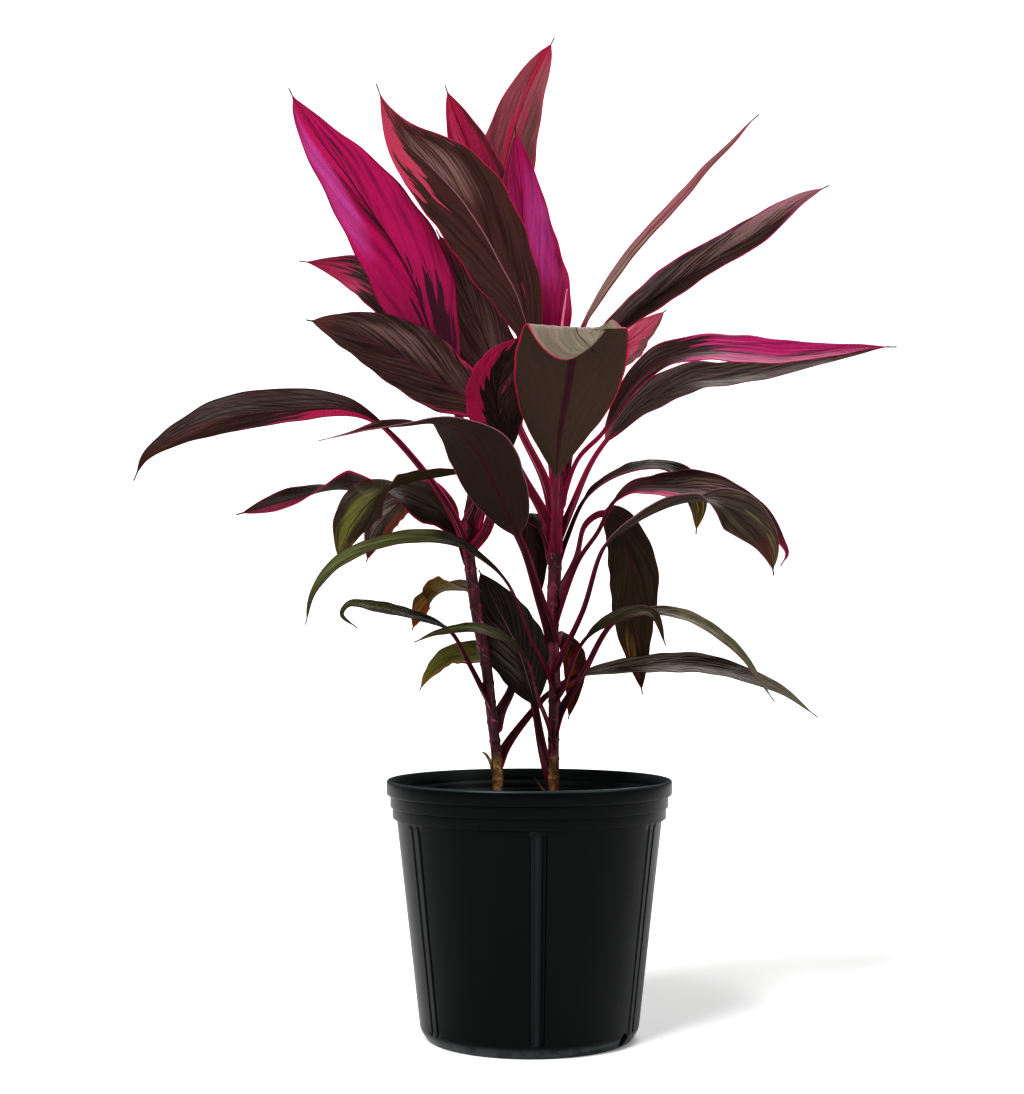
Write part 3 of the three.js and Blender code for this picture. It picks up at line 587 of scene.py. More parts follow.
def stem_tree():
    """Sweeps a round skin along a curve, with a low ring at each leaf scar."""
    tree, given = new_tree("ringed stem", STEM)
    fine = put(tree, "GeometryNodeResampleCurve", {"Curve": given["Geometry"], "Length": given["Step"]},
               mode="LENGTH")
    run = put(tree, "GeometryNodeSplineParameter").outputs["Length"]
    apart = calc(tree, "PINGPONG", run, calc(tree, "MULTIPLY", given["Ring Spacing"], 0.5))
    ring = calc(tree, "SUBTRACT", 1, calc(tree, "DIVIDE", apart, given["Ring Width"]))
    raised = calc(tree, "MULTIPLY", calc(tree, "MAXIMUM", ring, 0), given["Ring Height"])
    lump = noise(tree, put(tree, "GeometryNodeInputPosition").outputs[0], 60, 2)
    uneven = calc(tree, "MULTIPLY", calc(tree, "SUBTRACT", lump, 0.5), given["Lumps"])
    own = put(tree, "GeometryNodeInputRadius").outputs[0]
    radius = calc(tree, "ADD", calc(tree, "ADD", own, uneven), raised)
    outline = put(tree, "GeometryNodeCurvePrimitiveCircle", {"Resolution": given["Sides"], "Radius": 1})
    swept = put(tree, "GeometryNodeCurveToMesh", {
        "Curve": fine.outputs[0], "Profile Curve": outline.outputs[0], "Scale": radius, "Fill Caps": True})
    smooth = put(tree, "GeometryNodeSetShadeSmooth", {"Geometry": swept.outputs[0]})
    put(tree, "NodeGroupOutput", {0: smooth.outputs[0]})
    return tree


STEM_TREE = stem_tree()


def make_stem(name, stem, bark, sizes):
    """A stem grown by the stem tree along its path, as thick as its radius says."""
    places, run = smooth_path(stem["path"], STEM_SAMPLES)
    curve = bpy.data.curves.new(name, "CURVE")
    curve.dimensions = "3D"
    spline = curve.splines.new("POLY")
    spline.points.add(len(places) - 1)
    for point, place, share in zip(spline.points, places, run / run[-1]):
        point.co = (*(place * METRES), 1)
        point.radius = along_list(stem["radius"], share) * METRES
    grown = grow_with(new_object(name, curve), STEM_TREE, sizes)
    grown.data.materials.clear()
    grown.data.materials.append(bark)
    return grown


def add_flake(cane):
    """Adds the torn, dry leaf base that curls off the cane."""
    places, run = smooth_path(FLAKE_PATH, FLAKE_SAMPLES)
    across = np.array(FLAKE_ACROSS)
    out = np.cross(np.gradient(places, axis=0), across)
    out /= np.linalg.norm(out, axis=1)[:, None]
    points = [place + across * width * side + FLAKE_HALF_THICKNESS * front * up
              for place, width, up in zip(places, along_list(FLAKE_WIDTHS, run / run[-1]), out)
              for side, front in FLAKE_SECTION]
    count = len(FLAKE_SECTION)
    first = [(j, j + 1, 4 - j, 5 - j) for j in (0, 1)]
    last = [tuple(len(points) - count + j for j in reversed(end)) for end in first]
    husk = soil_skin("dry leaf base", "#4f3d2a", "#8f7a58", 300)
    flake = mesh_object("torn_leaf_base", points, lofted_faces(len(places), count) + first + last, husk)
    flake.data.polygons.foreach_set("material_index", [1] * len(flake.data.polygons))
    cane.data.materials.append(husk)
    both = bmesh.new()
    both.from_mesh(cane.data)
    both.from_mesh(flake.data)
    both.to_mesh(cane.data)
    both.free()
    bpy.data.objects.remove(flake)


right_cane = make_stem("right_cane", RIGHT_CANE, cane_bark("right cane bark"), CANE_SIZES)
fasten(right_cane, "cane_right")
left_cane = make_stem("left_cane", LEFT_CANE, cane_bark("left cane bark"), CANE_SIZES)
add_flake(left_cane)
fasten(left_cane, "cane_left")

# The twig: a short dry stub of an old stem, with bare grey-brown bark and close rings.
# It leans in the pot between the canes, with its foot in the potting mix.
TWIG = dict(radius=(1.7, 1.5, 1.1), path=((40, 28, 178), (36, 27, 196), (20, 26, 217), (5, 25, 236)))
TWIG_SIZES = {"Ring Spacing": 0.011, "Ring Height": 0.0003, "Ring Width": 0.001, "Sides": 16, "Lumps": 0.0003}
TWIG_CORK = ("#2e2119", "#6b543b")
NO_SHEATH = 9

twig = make_stem("leaning_twig", TWIG, cane_bark("dry twig bark", TWIG_CORK, NO_SHEATH), TWIG_SIZES)
fasten(twig, "dry_twig")

# The leaves: each is one blade with its stalk, thin and leathery, channelled along the
# midrib and finely ribbed by slanting veins. The stalk's foot clasps its cane. The same
# rule as the solids' gives its form: a midrib path, a width and the way its face looks.
LEAF_SEED = 400
STALK_STATIONS = 22
BLADE_STATIONS = 84
ACROSS_POINTS = 31
BASE_HALF_WIDTH = 7
NECK_HALF_WIDTH = 3.7
TIP_HALF_WIDTH = 0.55
TIP_START = 0.97
FULL_PLACE = 0.42
BASE_CURVE = 0.75
TIP_CURVE = 0.85
FOLDS = (0.25, 0.2)
STALK_THICKNESS = 3.4
RIB_THICKNESS = 2.2
TIP_THICKNESS = 0.7
BLADE_THICKNESS = 0.7
PLEAT_HEIGHT = 0.35
PLEATS = 9
VEIN_SLANT = 0.5
NECK_FADE = 0.3
HELD_PLACE = 0.45
STALK_EDGE_THICKNESS = 1.6
RIB_SPREAD = 1.6
ROOT_DROP = 6
ROOT_SHARE = 0.5
EDGE_UNEVEN = 0.05
EDGE_SWELLS = 1.4
EDGE_NOTCHES = 7
EDGE_WAVE = 0.04
SLOW_WAVES = 2.6
FAST_WAVES = 8
OPENING = 5
CLOSING = 8
CANE_MIDDLES = np.vstack([smooth_path(cane["path"])[0] for cane in (LEFT_CANE, RIGHT_CANE)])
LEAF_SPECULAR = 0.16
VEIN_FINENESS = 4.2
FINENESS_RANGE = (0.35, 1.1)
VEIN_SHADE = (0.55, 0.48, 0.48, 1)
GRAIN_SHADE = (0.86, 0.84, 0.84, 1)
DRY_TIP = "#2a1a1c"
LEAF_PAINTS = {
    "ebony": "#1a100e", "umber": "#2c1813", "cocoa": "#432621", "bronze": "#5a3836", "khaki": "#33271b",
    "tobacco": "#30201a", "loam": "#403025", "russet": "#5a261d", "rust": "#8a421f", "ochre": "#96702a",
    "mustard": "#6f7036", "olive": "#3d3920", "moss": "#4f5433", "fern": "#666b46", "lichen": "#7b7a66",
    "sage": "#8d8374", "ash": "#6b5f58", "taupe": "#7d625e", "mauve": "#8c606c", "plum": "#3d1622",
    "maroon": "#54182e", "wine": "#701837", "crimson": "#98154a", "scarlet": "#a81c48", "rose": "#a63c58",
    "dusk rose": "#8f4c57", "blossom": "#c98a96", "magenta": "#a8155a", "fuchsia": "#98195c",
    "orchid": "#a24486", "violet": "#b04e92",
}


def breadth(spec, t):
    """Share of the full width, from 0 at the blade's base to 1 at its widest and 0 at its tip."""
    peak = spec.get("peak", FULL_PLACE)
    if t < peak:
        return math.sin(math.pi / 2 * t / peak) ** spec.get("base", BASE_CURVE)
    return math.cos(math.pi / 2 * min(1, (t - peak) / (TIP_START - peak))) ** spec.get("taper", TIP_CURVE)


def carried_across(places, run, spec, start):
    """The direction across the blade at each place on the midrib. The upper face looks
    along face at the blade's middle, and turns twists it at even steps along the blade."""
    tangents = np.gradient(places, axis=0)
    tangents /= np.linalg.norm(tangents, axis=1)[:, None]
    middle = start + (run[-1] - start) * HELD_PLACE
    m = int(np.searchsorted(run, middle))
    across = np.zeros_like(places)
    across[m] = np.cross(tangents[m], spec["face"])
    across[m] /= np.linalg.norm(across[m])
    for order in (range(m + 1, len(places)), range(m - 1, -1, -1)):
        last = across[m]
        for i in order:
            last = last - tangents[i] * last.dot(tangents[i])
            last /= np.linalg.norm(last)
            across[i] = last
    for i, (tangent, here) in enumerate(zip(tangents, run)):
        turn = math.radians(along_list(spec.get("turns", (0, 0)), (here - start) / (run[-1] - start)))
        across[i] = across[i] * math.cos(turn) + np.cross(tangent, across[i]) * math.sin(turn)
    return across, tangents


def root_place(foot):
    """The place inside the nearer cane, a little below a leaf's foot, where it grows from."""
    below = foot - np.array((0, 0, ROOT_DROP))
    return CANE_MIDDLES[np.argmin(np.linalg.norm(CANE_MIDDLES - below, axis=1))]


def leaf_rings(spec, order):
    """Rings of points round the leaf from its foot to its tip, with the place across and
    along the leaf of each point: along is below 0 on the stalk."""
    places, run = smooth_path(spec["path"])
    start = run[round(spec["blade"] / (len(spec["path"]) - 1) * PATH_SAMPLES)]
    across, tangents = carried_across(places, run, spec, start)
    length = run[-1]
    draw = np.random.default_rng(LEAF_SEED + order)
    phases = draw.uniform(0, math.tau, 8)
    wave = spec.get("wave", EDGE_WAVE)
    stations = np.concatenate([
        start * np.linspace(0, 1, STALK_STATIONS, endpoint=False),
        start + (length - start) * np.linspace(0, 1, BLADE_STATIONS)])
    u = np.linspace(-1, 1, ACROSS_POINTS)
    a = np.abs(u)
    rings, marks = [], []
    for here in stations:
        point, side, tangent = (
            np.array([np.interp(here, run, values[:, i]) for i in range(3)])
            for values in (places, across, tangents))
        side /= np.linalg.norm(side)
        up = np.cross(side, tangent)
        up /= np.linalg.norm(up)
        t = max(0, (here - start) / (length - start))
        foot = min(1, here / start)
        neck = NECK_HALF_WIDTH + (BASE_HALF_WIDTH - NECK_HALF_WIDTH) * (1 - foot) ** 2
        stalk = neck * max(0, 1 - t / NECK_FADE)
        half = max(stalk, spec["width"] / 2 * breadth(spec, t), TIP_HALF_WIDTH)
        centre = RIB_THICKNESS + (TIP_THICKNESS - RIB_THICKNESS) * t
        edge = BLADE_THICKNESS
        if t == 0:
            centre = STALK_THICKNESS + (RIB_THICKNESS - STALK_THICKNESS) * foot ** 2
            edge = STALK_EDGE_THICKNESS + (BLADE_THICKNESS - STALK_EDGE_THICKNESS) * foot
        open_share = min(1, t * OPENING) * min(1, max(0, TIP_START - t) * CLOSING)
        sides = np.where(u < 0, phases[0], phases[1])
        uneven = 1 + spec.get("uneven", EDGE_UNEVEN) * open_share * (
            np.sin(math.tau * EDGE_SWELLS * t + sides)
            + 0.4 * np.sin(math.tau * EDGE_NOTCHES * t + 2 * sides))
        spread = half * u * (1 + (uneven - 1) * a)
        fold = along_list(spec.get("folds", FOLDS), t) * half
        lift = fold * (a ** 1.4 - 0.4)
        swing = wave * half * open_share
        slow = np.sin(math.tau * SLOW_WAVES * t + np.where(u < 0, phases[2], phases[3]))
        fast = np.sin(math.tau * FAST_WAVES * t + np.where(u < 0, phases[4], phases[5]))
        pleat = np.cos(math.tau * PLEATS * (a * 0.5 + VEIN_SLANT * 0.2 * t) + phases[6])
        lift = lift + swing * (a ** 2 * slow + 0.4 * a ** 3 * fast)
        lift = lift + PLEAT_HEIGHT * open_share * np.sin(math.pi * a) * pleat
        thick = edge + (centre - edge) * np.maximum(0, 1 - a * RIB_SPREAD)
        sheet = point + np.outer(spread, side) + np.outer(lift, up)
        half_thick = np.outer(thick / 2, up)
        rings.append(np.vstack([sheet + half_thick, (sheet - half_thick)[::-1]]))
        along = (here - start) / (length - start)
        marks.append((np.concatenate([u, u[::-1]]) / 2 + 0.5, along))
    foot = rings[0].mean(axis=0)
    rings.insert(0, root_place(foot) + (rings[0] - foot) * ROOT_SHARE)
    marks.insert(0, (marks[0][0], marks[0][1] - 0.01))
    return rings, marks


def leaf_object(name, spec, order, material):
    """The closed blade and stalk, with its leaf map and a mark on its underside."""
    rings, marks = leaf_rings(spec, order)
    count = len(rings[0])
    half = count // 2
    ends = [(end + j, end + j + 1, end + count - 2 - j, end + count - 1 - j)
            for end in (0, (len(rings) - 1) * count) for j in range(half - 1)]
    leaf = mesh_object(name, np.vstack(rings), ends + lofted_faces(len(rings), count), material)
    mesh = leaf.data
    places = np.vstack([np.column_stack([across, np.full(count, along)]) for across, along in marks])
    corners = np.empty(len(mesh.loops), int)
    mesh.loops.foreach_get("vertex_index", corners)
    mesh.uv_layers.new(name="leaf").data.foreach_set("uv", places[corners].ravel())
    mark_points(mesh, "under", np.tile(np.arange(count) >= half, len(rings)).astype(float))
    return leaf


def leaf_skin():
    """The skin all leaves share: ground colours from base to tip, a second colour that
    runs in along the veins, a painted satin sheen, margin, midrib, underside with its own
    painted sheen, and stalk with painted pale streaks."""
    tree = bpy.data.node_groups.new("ti leaf skin", "ShaderNodeTree")
    for label in ("Base", "Middle", "Tip", "Blush", "Sheen", "Margin", "Rib", "Under", "Stalk", "Stalk Edge"):
        tree.interface.new_socket(label, in_out="INPUT", socket_type="NodeSocketColor")
    amounts = (
        ("Base End", 0.3), ("Tip Start", 0.75), ("Blush All", -0.05), ("Blush Left", 0), ("Blush Right", 0),
        ("Blush Base", 0), ("Blush Tip", 0), ("Blush Left Base", 0), ("Blush Right Base", 0),
        ("Blush Left Tip", 0), ("Blush Right Tip", 0), ("Blush Rib", 0), ("Blush Margin", 0), ("Streak", 0.7),
        ("Sheen All", 0.14), ("Sheen Spot", 0.5), ("Sheen Side", 0.3), ("Sheen Place", 0.55),
        ("Sheen Wide", 0.5), ("Sheen Long", 0.3), ("Lines", 0.9), ("Fineness", 1), ("Margin Width", 0.05),
        ("Rib Width", 0.04), ("Under Sheen", 0.12), ("Seed", 0))
    for label, value in amounts:
        tree.interface.new_socket(label, in_out="INPUT", socket_type="NodeSocketFloat").default_value = value
    for label, kind in (("Colour", "Color"), ("Roughness", "Float"), ("Normal", "Vector")):
        tree.interface.new_socket(label, in_out="OUTPUT", socket_type="NodeSocket" + kind)
    given = put(tree, "NodeGroupInput").outputs
    leaf_map = put(tree, "ShaderNodeUVMap", uv_map="leaf").outputs[0]
    mark = axes(tree, leaf_map)
    side = calc(tree, "MULTIPLY_ADD", mark[0], 2, -1)
    away = calc(tree, "ABSOLUTE", side)
    along = mark[1]
    left = calc(tree, "MAXIMUM", calc(tree, "MULTIPLY", side, -1), 0)
    right = calc(tree, "MAXIMUM", side, 0)
    vein = calc(tree, "MULTIPLY_ADD", away, -VEIN_SLANT, along)
    half = calc(tree, "MULTIPLY", given["Seed"], 11.3)
    half = calc(tree, "MULTIPLY_ADD", calc(tree, "SIGN", side), 3.7, half)

    def along_veins(fineness, stretch, detail):
        """Noise drawn out along the veins."""
        crossing = calc(tree, "MULTIPLY", calc(tree, "MULTIPLY", vein, given["Fineness"]), fineness)
        spot = put(tree, "ShaderNodeCombineXYZ", {
            0: crossing, 1: calc(tree, "MULTIPLY", away, stretch), 2: half})
        return noise(tree, spot.outputs[0], 1, detail, 0.5)

    broad = along_veins(5, 3, 2)
    fine = along_veins(13, 2, 2)
    lines = along_veins(34, 1.4, 1)
    spread = put(tree, "ShaderNodeCombineXYZ", {0: calc(tree, "MULTIPLY", side, 1.2), 1: along, 2: half})
    cloud = noise(tree, spread.outputs[0], 3, 2)
    wander = calc(tree, "MULTIPLY_ADD", calc(tree, "SUBTRACT", fine, 0.5), 0.3, along)
    ground = blend(tree, ease(tree, wander, 0, given["Base End"]), given["Base"], given["Middle"])
    ground = blend(tree, ease(tree, wander, given["Tip Start"], 1), ground, given["Tip"])
    ground = blend(tree, ease(tree, fine, 0.4, 0.7), ground, VEIN_SHADE, "MULTIPLY")
    low = ease(tree, along, 0.6, 0)
    high = ease(tree, along, 0.45, 1)
    on_left, on_right = ease(tree, left, 0, 0.4), ease(tree, right, 0, 0.4)
    amount = given["Blush All"]
    shares = (
        ("Blush Left", left), ("Blush Right", right), ("Blush Base", low), ("Blush Tip", high),
        ("Blush Left Base", calc(tree, "MULTIPLY", on_left, low)),
        ("Blush Right Base", calc(tree, "MULTIPLY", on_right, low)),
        ("Blush Left Tip", calc(tree, "MULTIPLY", on_left, high)),
        ("Blush Right Tip", calc(tree, "MULTIPLY", on_right, high)),
        ("Blush Rib", calc(tree, "POWER", calc(tree, "SUBTRACT", 1, away), 4)),
        ("Blush Margin", calc(tree, "POWER", away, 4)))
    for label, share in shares:
        amount = calc(tree, "MULTIPLY_ADD", given[label], share, amount)
    streaks = calc(tree, "MULTIPLY_ADD", lines, 0.35, calc(tree, "MULTIPLY_ADD", fine, 0.5, broad))
    streaks = calc(tree, "SUBTRACT", streaks, 0.925)
    amount = calc(tree, "MULTIPLY_ADD", streaks, calc(tree, "MULTIPLY", given["Streak"], 2), amount)
    colour = blend(tree, ease(tree, amount, 0.4, 0.6), ground, given["Blush"])
    # Painted satin sheen: a soft spot and a little all over, broken into lines along the veins. Some looks
    # use it for a patch of the leaf's own colour instead.
    off_side = calc(tree, "DIVIDE", calc(tree, "SUBTRACT", side, given["Sheen Side"]), given["Sheen Wide"])
    off_place = calc(tree, "DIVIDE", calc(tree, "SUBTRACT", along, given["Sheen Place"]), given["Sheen Long"])
    off = calc(tree, "MULTIPLY_ADD", off_side, off_side, calc(tree, "MULTIPLY", off_place, off_place))
    spot = ease(tree, calc(tree, "MULTIPLY_ADD", calc(tree, "SUBTRACT", broad, 0.5), 0.9, off), 1, 0)
    sheen = calc(tree, "MULTIPLY_ADD", spot, given["Sheen Spot"], given["Sheen All"])
    crisp = ease(tree, lines, 0.38, 0.62)
    lined = calc(tree, "MULTIPLY_ADD", calc(tree, "MULTIPLY_ADD", crisp, 1.6, -0.85), given["Lines"], 1)
    clouded = calc(tree, "MULTIPLY", lined, calc(tree, "MULTIPLY_ADD", cloud, 0.8, 0.5))
    sheen = calc(tree, "MULTIPLY", sheen, clouded)
    colour = blend(tree, calc(tree, "MINIMUM", sheen, 0.95), colour, given["Sheen"])
    fading = calc(tree, "MULTIPLY", given["Rib Width"], calc(tree, "MULTIPLY_ADD", along, -0.6, 1))
    rib = ease(tree, away, fading, calc(tree, "MULTIPLY", fading, 0.5))
    colour = blend(tree, calc(tree, "MULTIPLY", rib, 0.9), colour, given["Rib"])
    # The underside gets its own painted sheen.
    under_sheen = calc(tree, "MULTIPLY", given["Under Sheen"], calc(tree, "ADD", crisp, cloud))
    beneath = blend(tree, under_sheen, given["Under"], given["Sheen"])
    beneath = blend(tree, ease(tree, away, 0.1, 0.04), beneath, given["Rib"])
    is_under = own_mark(tree, "under")
    colour = blend(tree, is_under, colour, beneath)
    ragged = calc(tree, "MULTIPLY_ADD", calc(tree, "SUBTRACT", fine, 0.5), given["Margin Width"], away)
    inner = calc(tree, "SUBTRACT", 1, given["Margin Width"])
    margin = ease(tree, ragged, inner, calc(tree, "MULTIPLY_ADD", given["Margin Width"], 0.35, inner))
    colour = blend(tree, calc(tree, "MULTIPLY", margin, 0.95), colour, given["Margin"])
    drawn = put(tree, "ShaderNodeCombineXYZ", {
        0: calc(tree, "MULTIPLY", side, 2.4), 1: calc(tree, "MULTIPLY", along, 3), 2: half})
    strand = noise(tree, drawn.outputs[0], 1, 2)
    to_edge = ease(tree, calc(tree, "MULTIPLY_ADD", strand, 0.9, away), 0.7, 1.3)
    stalk = blend(tree, to_edge, given["Stalk"], given["Stalk Edge"])
    stalk = blend(tree, ease(tree, strand, 0.5, 0.7), stalk, paint(LEAF_PAINTS["plum"]))
    # Pale pink streaks along the stalk: a painted highlight.
    drawn = put(tree, "ShaderNodeCombineXYZ", {
        0: calc(tree, "MULTIPLY", side, 5), 1: calc(tree, "MULTIPLY", along, 2.5), 2: half})
    pale = ease(tree, noise(tree, drawn.outputs[0], 1, 2), 0.56, 0.7)
    stalk = blend(tree, calc(tree, "MULTIPLY", pale, 0.45), stalk, paint(LEAF_PAINTS["blossom"]))
    colour = blend(tree, ease(tree, along, 0.06, -0.02), colour, stalk)
    colour = blend(tree, ease(tree, along, 0.965, 0.98), colour, paint(DRY_TIP))
    grain = noise(tree, own_place(tree), 700, 2)
    colour = blend(tree, ease(tree, grain, 0.35, 0.7), colour, GRAIN_SHADE, "MULTIPLY")
    gloss = calc(tree, "MULTIPLY_ADD", cloud, 0.16, calc(tree, "MULTIPLY_ADD", is_under, 0.12, 0.4))
    ridge = calc(tree, "MULTIPLY_ADD", fine, 0.8, calc(tree, "MULTIPLY_ADD", rib, -1.2, lines))
    normal = relief(tree, ridge, 0.0006, 0.8)
    put(tree, "NodeGroupOutput", {"Colour": colour, "Roughness": gloss, "Normal": normal})
    return tree


LEAF_SKIN = leaf_skin()
# Sheen names the colour of each leaf's painted satin sheen.
COMMON_LOOK = dict(base="umber", middle="umber", tip="umber", blush="crimson", sheen="taupe",
                   margin="crimson", rib="ebony", under="umber", stalk="plum", stalk_edge="wine")


def leaf_material(name, look, order):
    """One leaf's material: its look names paints for colours and amounts for the rest."""
    material, tree, shader = new_material(name)
    skin = put(tree, "ShaderNodeGroup", {"Seed": order}, node_tree=LEAF_SKIN)
    for key, value in {**COMMON_LOOK, **look}.items():
        amount = paint(LEAF_PAINTS[value]) if isinstance(value, str) else value
        feed(tree, skin, {key.replace("_", " ").title(): amount})
    feed(tree, shader, {
        "Base Color": skin.outputs["Colour"], "Roughness": skin.outputs["Roughness"],
        "Normal": skin.outputs["Normal"], "Specular IOR Level": LEAF_SPECULAR})
    return material


def set_leaves(leaves, first, **group_look):
    """Makes each leaf of a group, with what their looks share, in its solid's place."""
    for order, (node, spec) in enumerate(leaves.items(), first):
        run = smooth_path(spec["path"][spec["blade"]:])[1]
        fineness = float(np.clip(VEIN_FINENESS * spec["width"] / run[-1], *FINENESS_RANGE))
        look = {"fineness": fineness, **group_look, **spec["look"]}
        skin = leaf_material(node + " skin", look, order)
        leaf = leaf_object(node + "_blade", spec, order, skin)
        fasten(leaf, node)


# The left cane's leaves, from the lowest up: three old green ones that droop, two
# turning orange, the long dark arching ones and the broad magenta leaf of its crown.
LEFT_CANE_LEAVES = {
    "leaf_left_01": dict(
        path=((-30, -10, 249), (-24, 2, 263), (-14, 14, 278), (5, 28, 301), (16, 36, 313),
              (45, 44, 332), (91, 48, 341), (166, 52, 343), (239, 54, 322), (280, 54, 293)),
        blade=5, width=36, face=(0, -0.6, 1), finish="green",
        look=dict(base="ebony", tip="lichen", sheen="sage", sheen_all=0.35, sheen_place=0.8,
                  sheen_spot=0.2, lines=1, margin="ebony", tip_start=0.6)),
    "leaf_left_02": dict(
        path=((-32, -10, 286), (-28, 5, 299), (-16, 36, 326), (-22, 48, 346), (-40, 54, 353),
              (-74, 60, 352), (-96, 60, 335), (-106, 58, 319)),
        blade=3, width=38, face=(0, -0.7, 1), finish="green",
        look=dict(middle="mustard", tip="ochre", blush="ochre", blush_left=0.9, blush_right=0.5,
                  sheen="mustard", sheen_spot=0.4, margin="maroon", rib="umber", under="mustard")),
    "leaf_left_03": dict(
        path=((-36, -10, 305), (-43, -16, 319), (-56, -22, 345), (-75, -28, 377), (-110, -32, 391),
              (-143, -34, 398), (-166, -34, 401), (-173, -34, 392), (-159, -34, 379)),
        blade=3, width=22, face=(0, -0.5, 1), finish="green",
        look=dict(base="ebony", middle="olive", tip="khaki", sheen="fern", sheen_all=0.1,
                  margin="umber", rib="umber", base_end=0.75)),
    "leaf_left_04": dict(
        path=((-52, -10, 413), (-55, 24, 417), (-70, 54, 419), (-87, 76, 417), (-99, 82, 407),
              (-108, 82, 393), (-115, 82, 377)),
        blade=1, width=56, face=(-0.4, -1, 0.4), finish="autumn", base=0.4, peak=0.5,
        turns=(70, 85, 60, 10, 0),
        look=dict(middle="olive", tip="rust", blush="rust", blush_left=0.9, blush_tip=0.7,
                  sheen="ochre", sheen_place=0.7, margin="rust", rib="olive", under="olive",
                  under_sheen=0.3)),
    "leaf_left_05": dict(
        path=((-56, -10, 443), (-74, 35, 483), (-99, 65, 505), (-123, 82, 506), (-144, 90, 487),
              (-161, 90, 445)),
        blade=2, width=40, face=(-0.4, -1, 0.4),
        look=dict(base="khaki", middle="khaki", tip="russet", blush="russet", blush_left=1.0,
                  blush_tip=0.3, sheen="ash", sheen_all=0.1, margin="rust")),
    "leaf_left_06": dict(
        path=((-57, -10, 460), (-68, -22, 468), (-83, -28, 487), (-106, -34, 499), (-134, -36, 508),
              (-164, -34, 511), (-194, -32, 507), (-222, -32, 499), (-248, -30, 491), (-272, -30, 484)),
        blade=1, width=52, face=(0, -1, 0.5), peak=0.26, turns=(0, 0, 45, 85, 45, 0, 0), base=0.6,
        taper=0.75,
        look=dict(base="khaki", middle="khaki", tip="plum", blush="wine", blush_tip=0.15,
                  blush_left_tip=1.2, sheen="ash", sheen_all=0.1, sheen_spot=0.15, margin_width=0.12)),
    "leaf_left_07": dict(
        path=((-57, -10, 449), (-69, -34, 479), (-85, -46, 506), (-121, -52, 550), (-142, -52, 569),
              (-163, -52, 579), (-188, -50, 582), (-221, -48, 581), (-253, -48, 578), (-283, -46, 573),
              (-311, -44, 563), (-336, -42, 550), (-355, -40, 536), (-366, -38, 515)),
        blade=3, width=53, face=(0, -1, 0.9), peak=0.5, base=1.6,
        look=dict(tip="cocoa", blush_left_base=1.1, sheen="bronze", sheen_all=0.1, sheen_spot=0.3,
                  sheen_place=0.75, sheen_side=-0.2, rib="bronze", margin="umber", margin_width=0.03,
                  stalk="maroon", stalk_edge="crimson", blush_base=0.25, blush_margin=0.3)),
    "leaf_left_08": dict(
        path=((-58, -10, 476), (-49, -40, 499), (-59, -62, 519), (-81, -70, 518), (-110, -74, 513),
              (-133, -76, 503), (-151, -74, 487), (-164, -71, 468), (-175, -66, 439)),
        blade=2, width=46, face=(-0.3, -1, 0.3), finish="autumn", peak=0.6, base=0.6, taper=0.8,
        turns=(72, 76, 70, 8, 0, 0),
        look=dict(middle="khaki", tip="russet", blush="moss", blush_tip=0.6, sheen="mustard",
                  sheen_spot=0.6, sheen_place=0.75, sheen_side=0.2, sheen_all=0.02, margin="maroon",
                  tip_start=0.8, streak=0.35, lines=0.3)),
    "leaf_left_09": dict(
        path=((-56, -10, 453), (-42, -22, 468), (-34, -30, 491), (-29, -44, 552), (-36, -48, 578),
              (-55, -50, 590), (-78, -50, 604), (-105, -52, 622), (-130, -52, 636), (-156, -52, 648),
              (-180, -50, 657), (-206, -48, 663)),
        blade=4, width=70, face=(0, -1, 0.5), base=0.5, taper=0.8,
        look=dict(base="cocoa", tip="russet", sheen_spot=0.28, sheen_side=0.45, sheen_place=0.5,
                  sheen_wide=0.35, sheen_long=0.35, margin="maroon", margin_width=0.03, rib="maroon",
                  tip_start=0.8, blush_margin=0.34, blush_base=0.38, streak=0.4, stalk="maroon",
                  stalk_edge="crimson")),
    "leaf_left_10": dict(
        path=((-56, -10, 455), (-45, 20, 502), (-47, 50, 553), (-63, 85, 616), (-99, 105, 675),
              (-133, 112, 713), (-165, 120, 737), (-197, 124, 748), (-234, 125, 754)),
        blade=3, width=66, face=(0, -1, 0.6), base=0.7, taper=1.1, folds=(0.25, 0.15),
        turns=(0, 0, 0, -20, -30),
        look=dict(tip="crimson", blush_tip=0.75, blush_left_tip=0.4, tip_start=0.85, stalk="maroon",
                  stalk_edge="crimson")),
    "leaf_left_11": dict(
        path=((-56, -10, 462), (-47, 0, 500), (-49, 4, 538), (-69, 8, 586), (-82, 10, 627),
              (-96, 12, 668), (-109, 12, 707), (-126, 12, 740), (-144, 12, 768), (-165, 12, 800),
              (-180, 12, 821), (-195, 12, 840), (-208, 12, 858), (-220, 12, 876), (-231, 12, 898)),
        blade=3, width=78, face=(0, -1, 0.2), finish="magenta", base=0.95, taper=0.75,
        look=dict(base="wine", middle="magenta", tip="crimson", blush="plum", blush_right_base=1.5,
                  blush_margin=-1.2, streak=1.7, sheen="violet", sheen_all=0.04, sheen_spot=0.8,
                  sheen_side=-0.65, sheen_place=0.72, sheen_wide=0.42, sheen_long=0.27, lines=0.25,
                  margin="wine", margin_width=0.04, rib="plum", rib_width=0.05, base_end=0.5,
                  tip_start=0.85, stalk="maroon", stalk_edge="crimson")),
}
set_leaves(LEFT_CANE_LEAVES, 51)

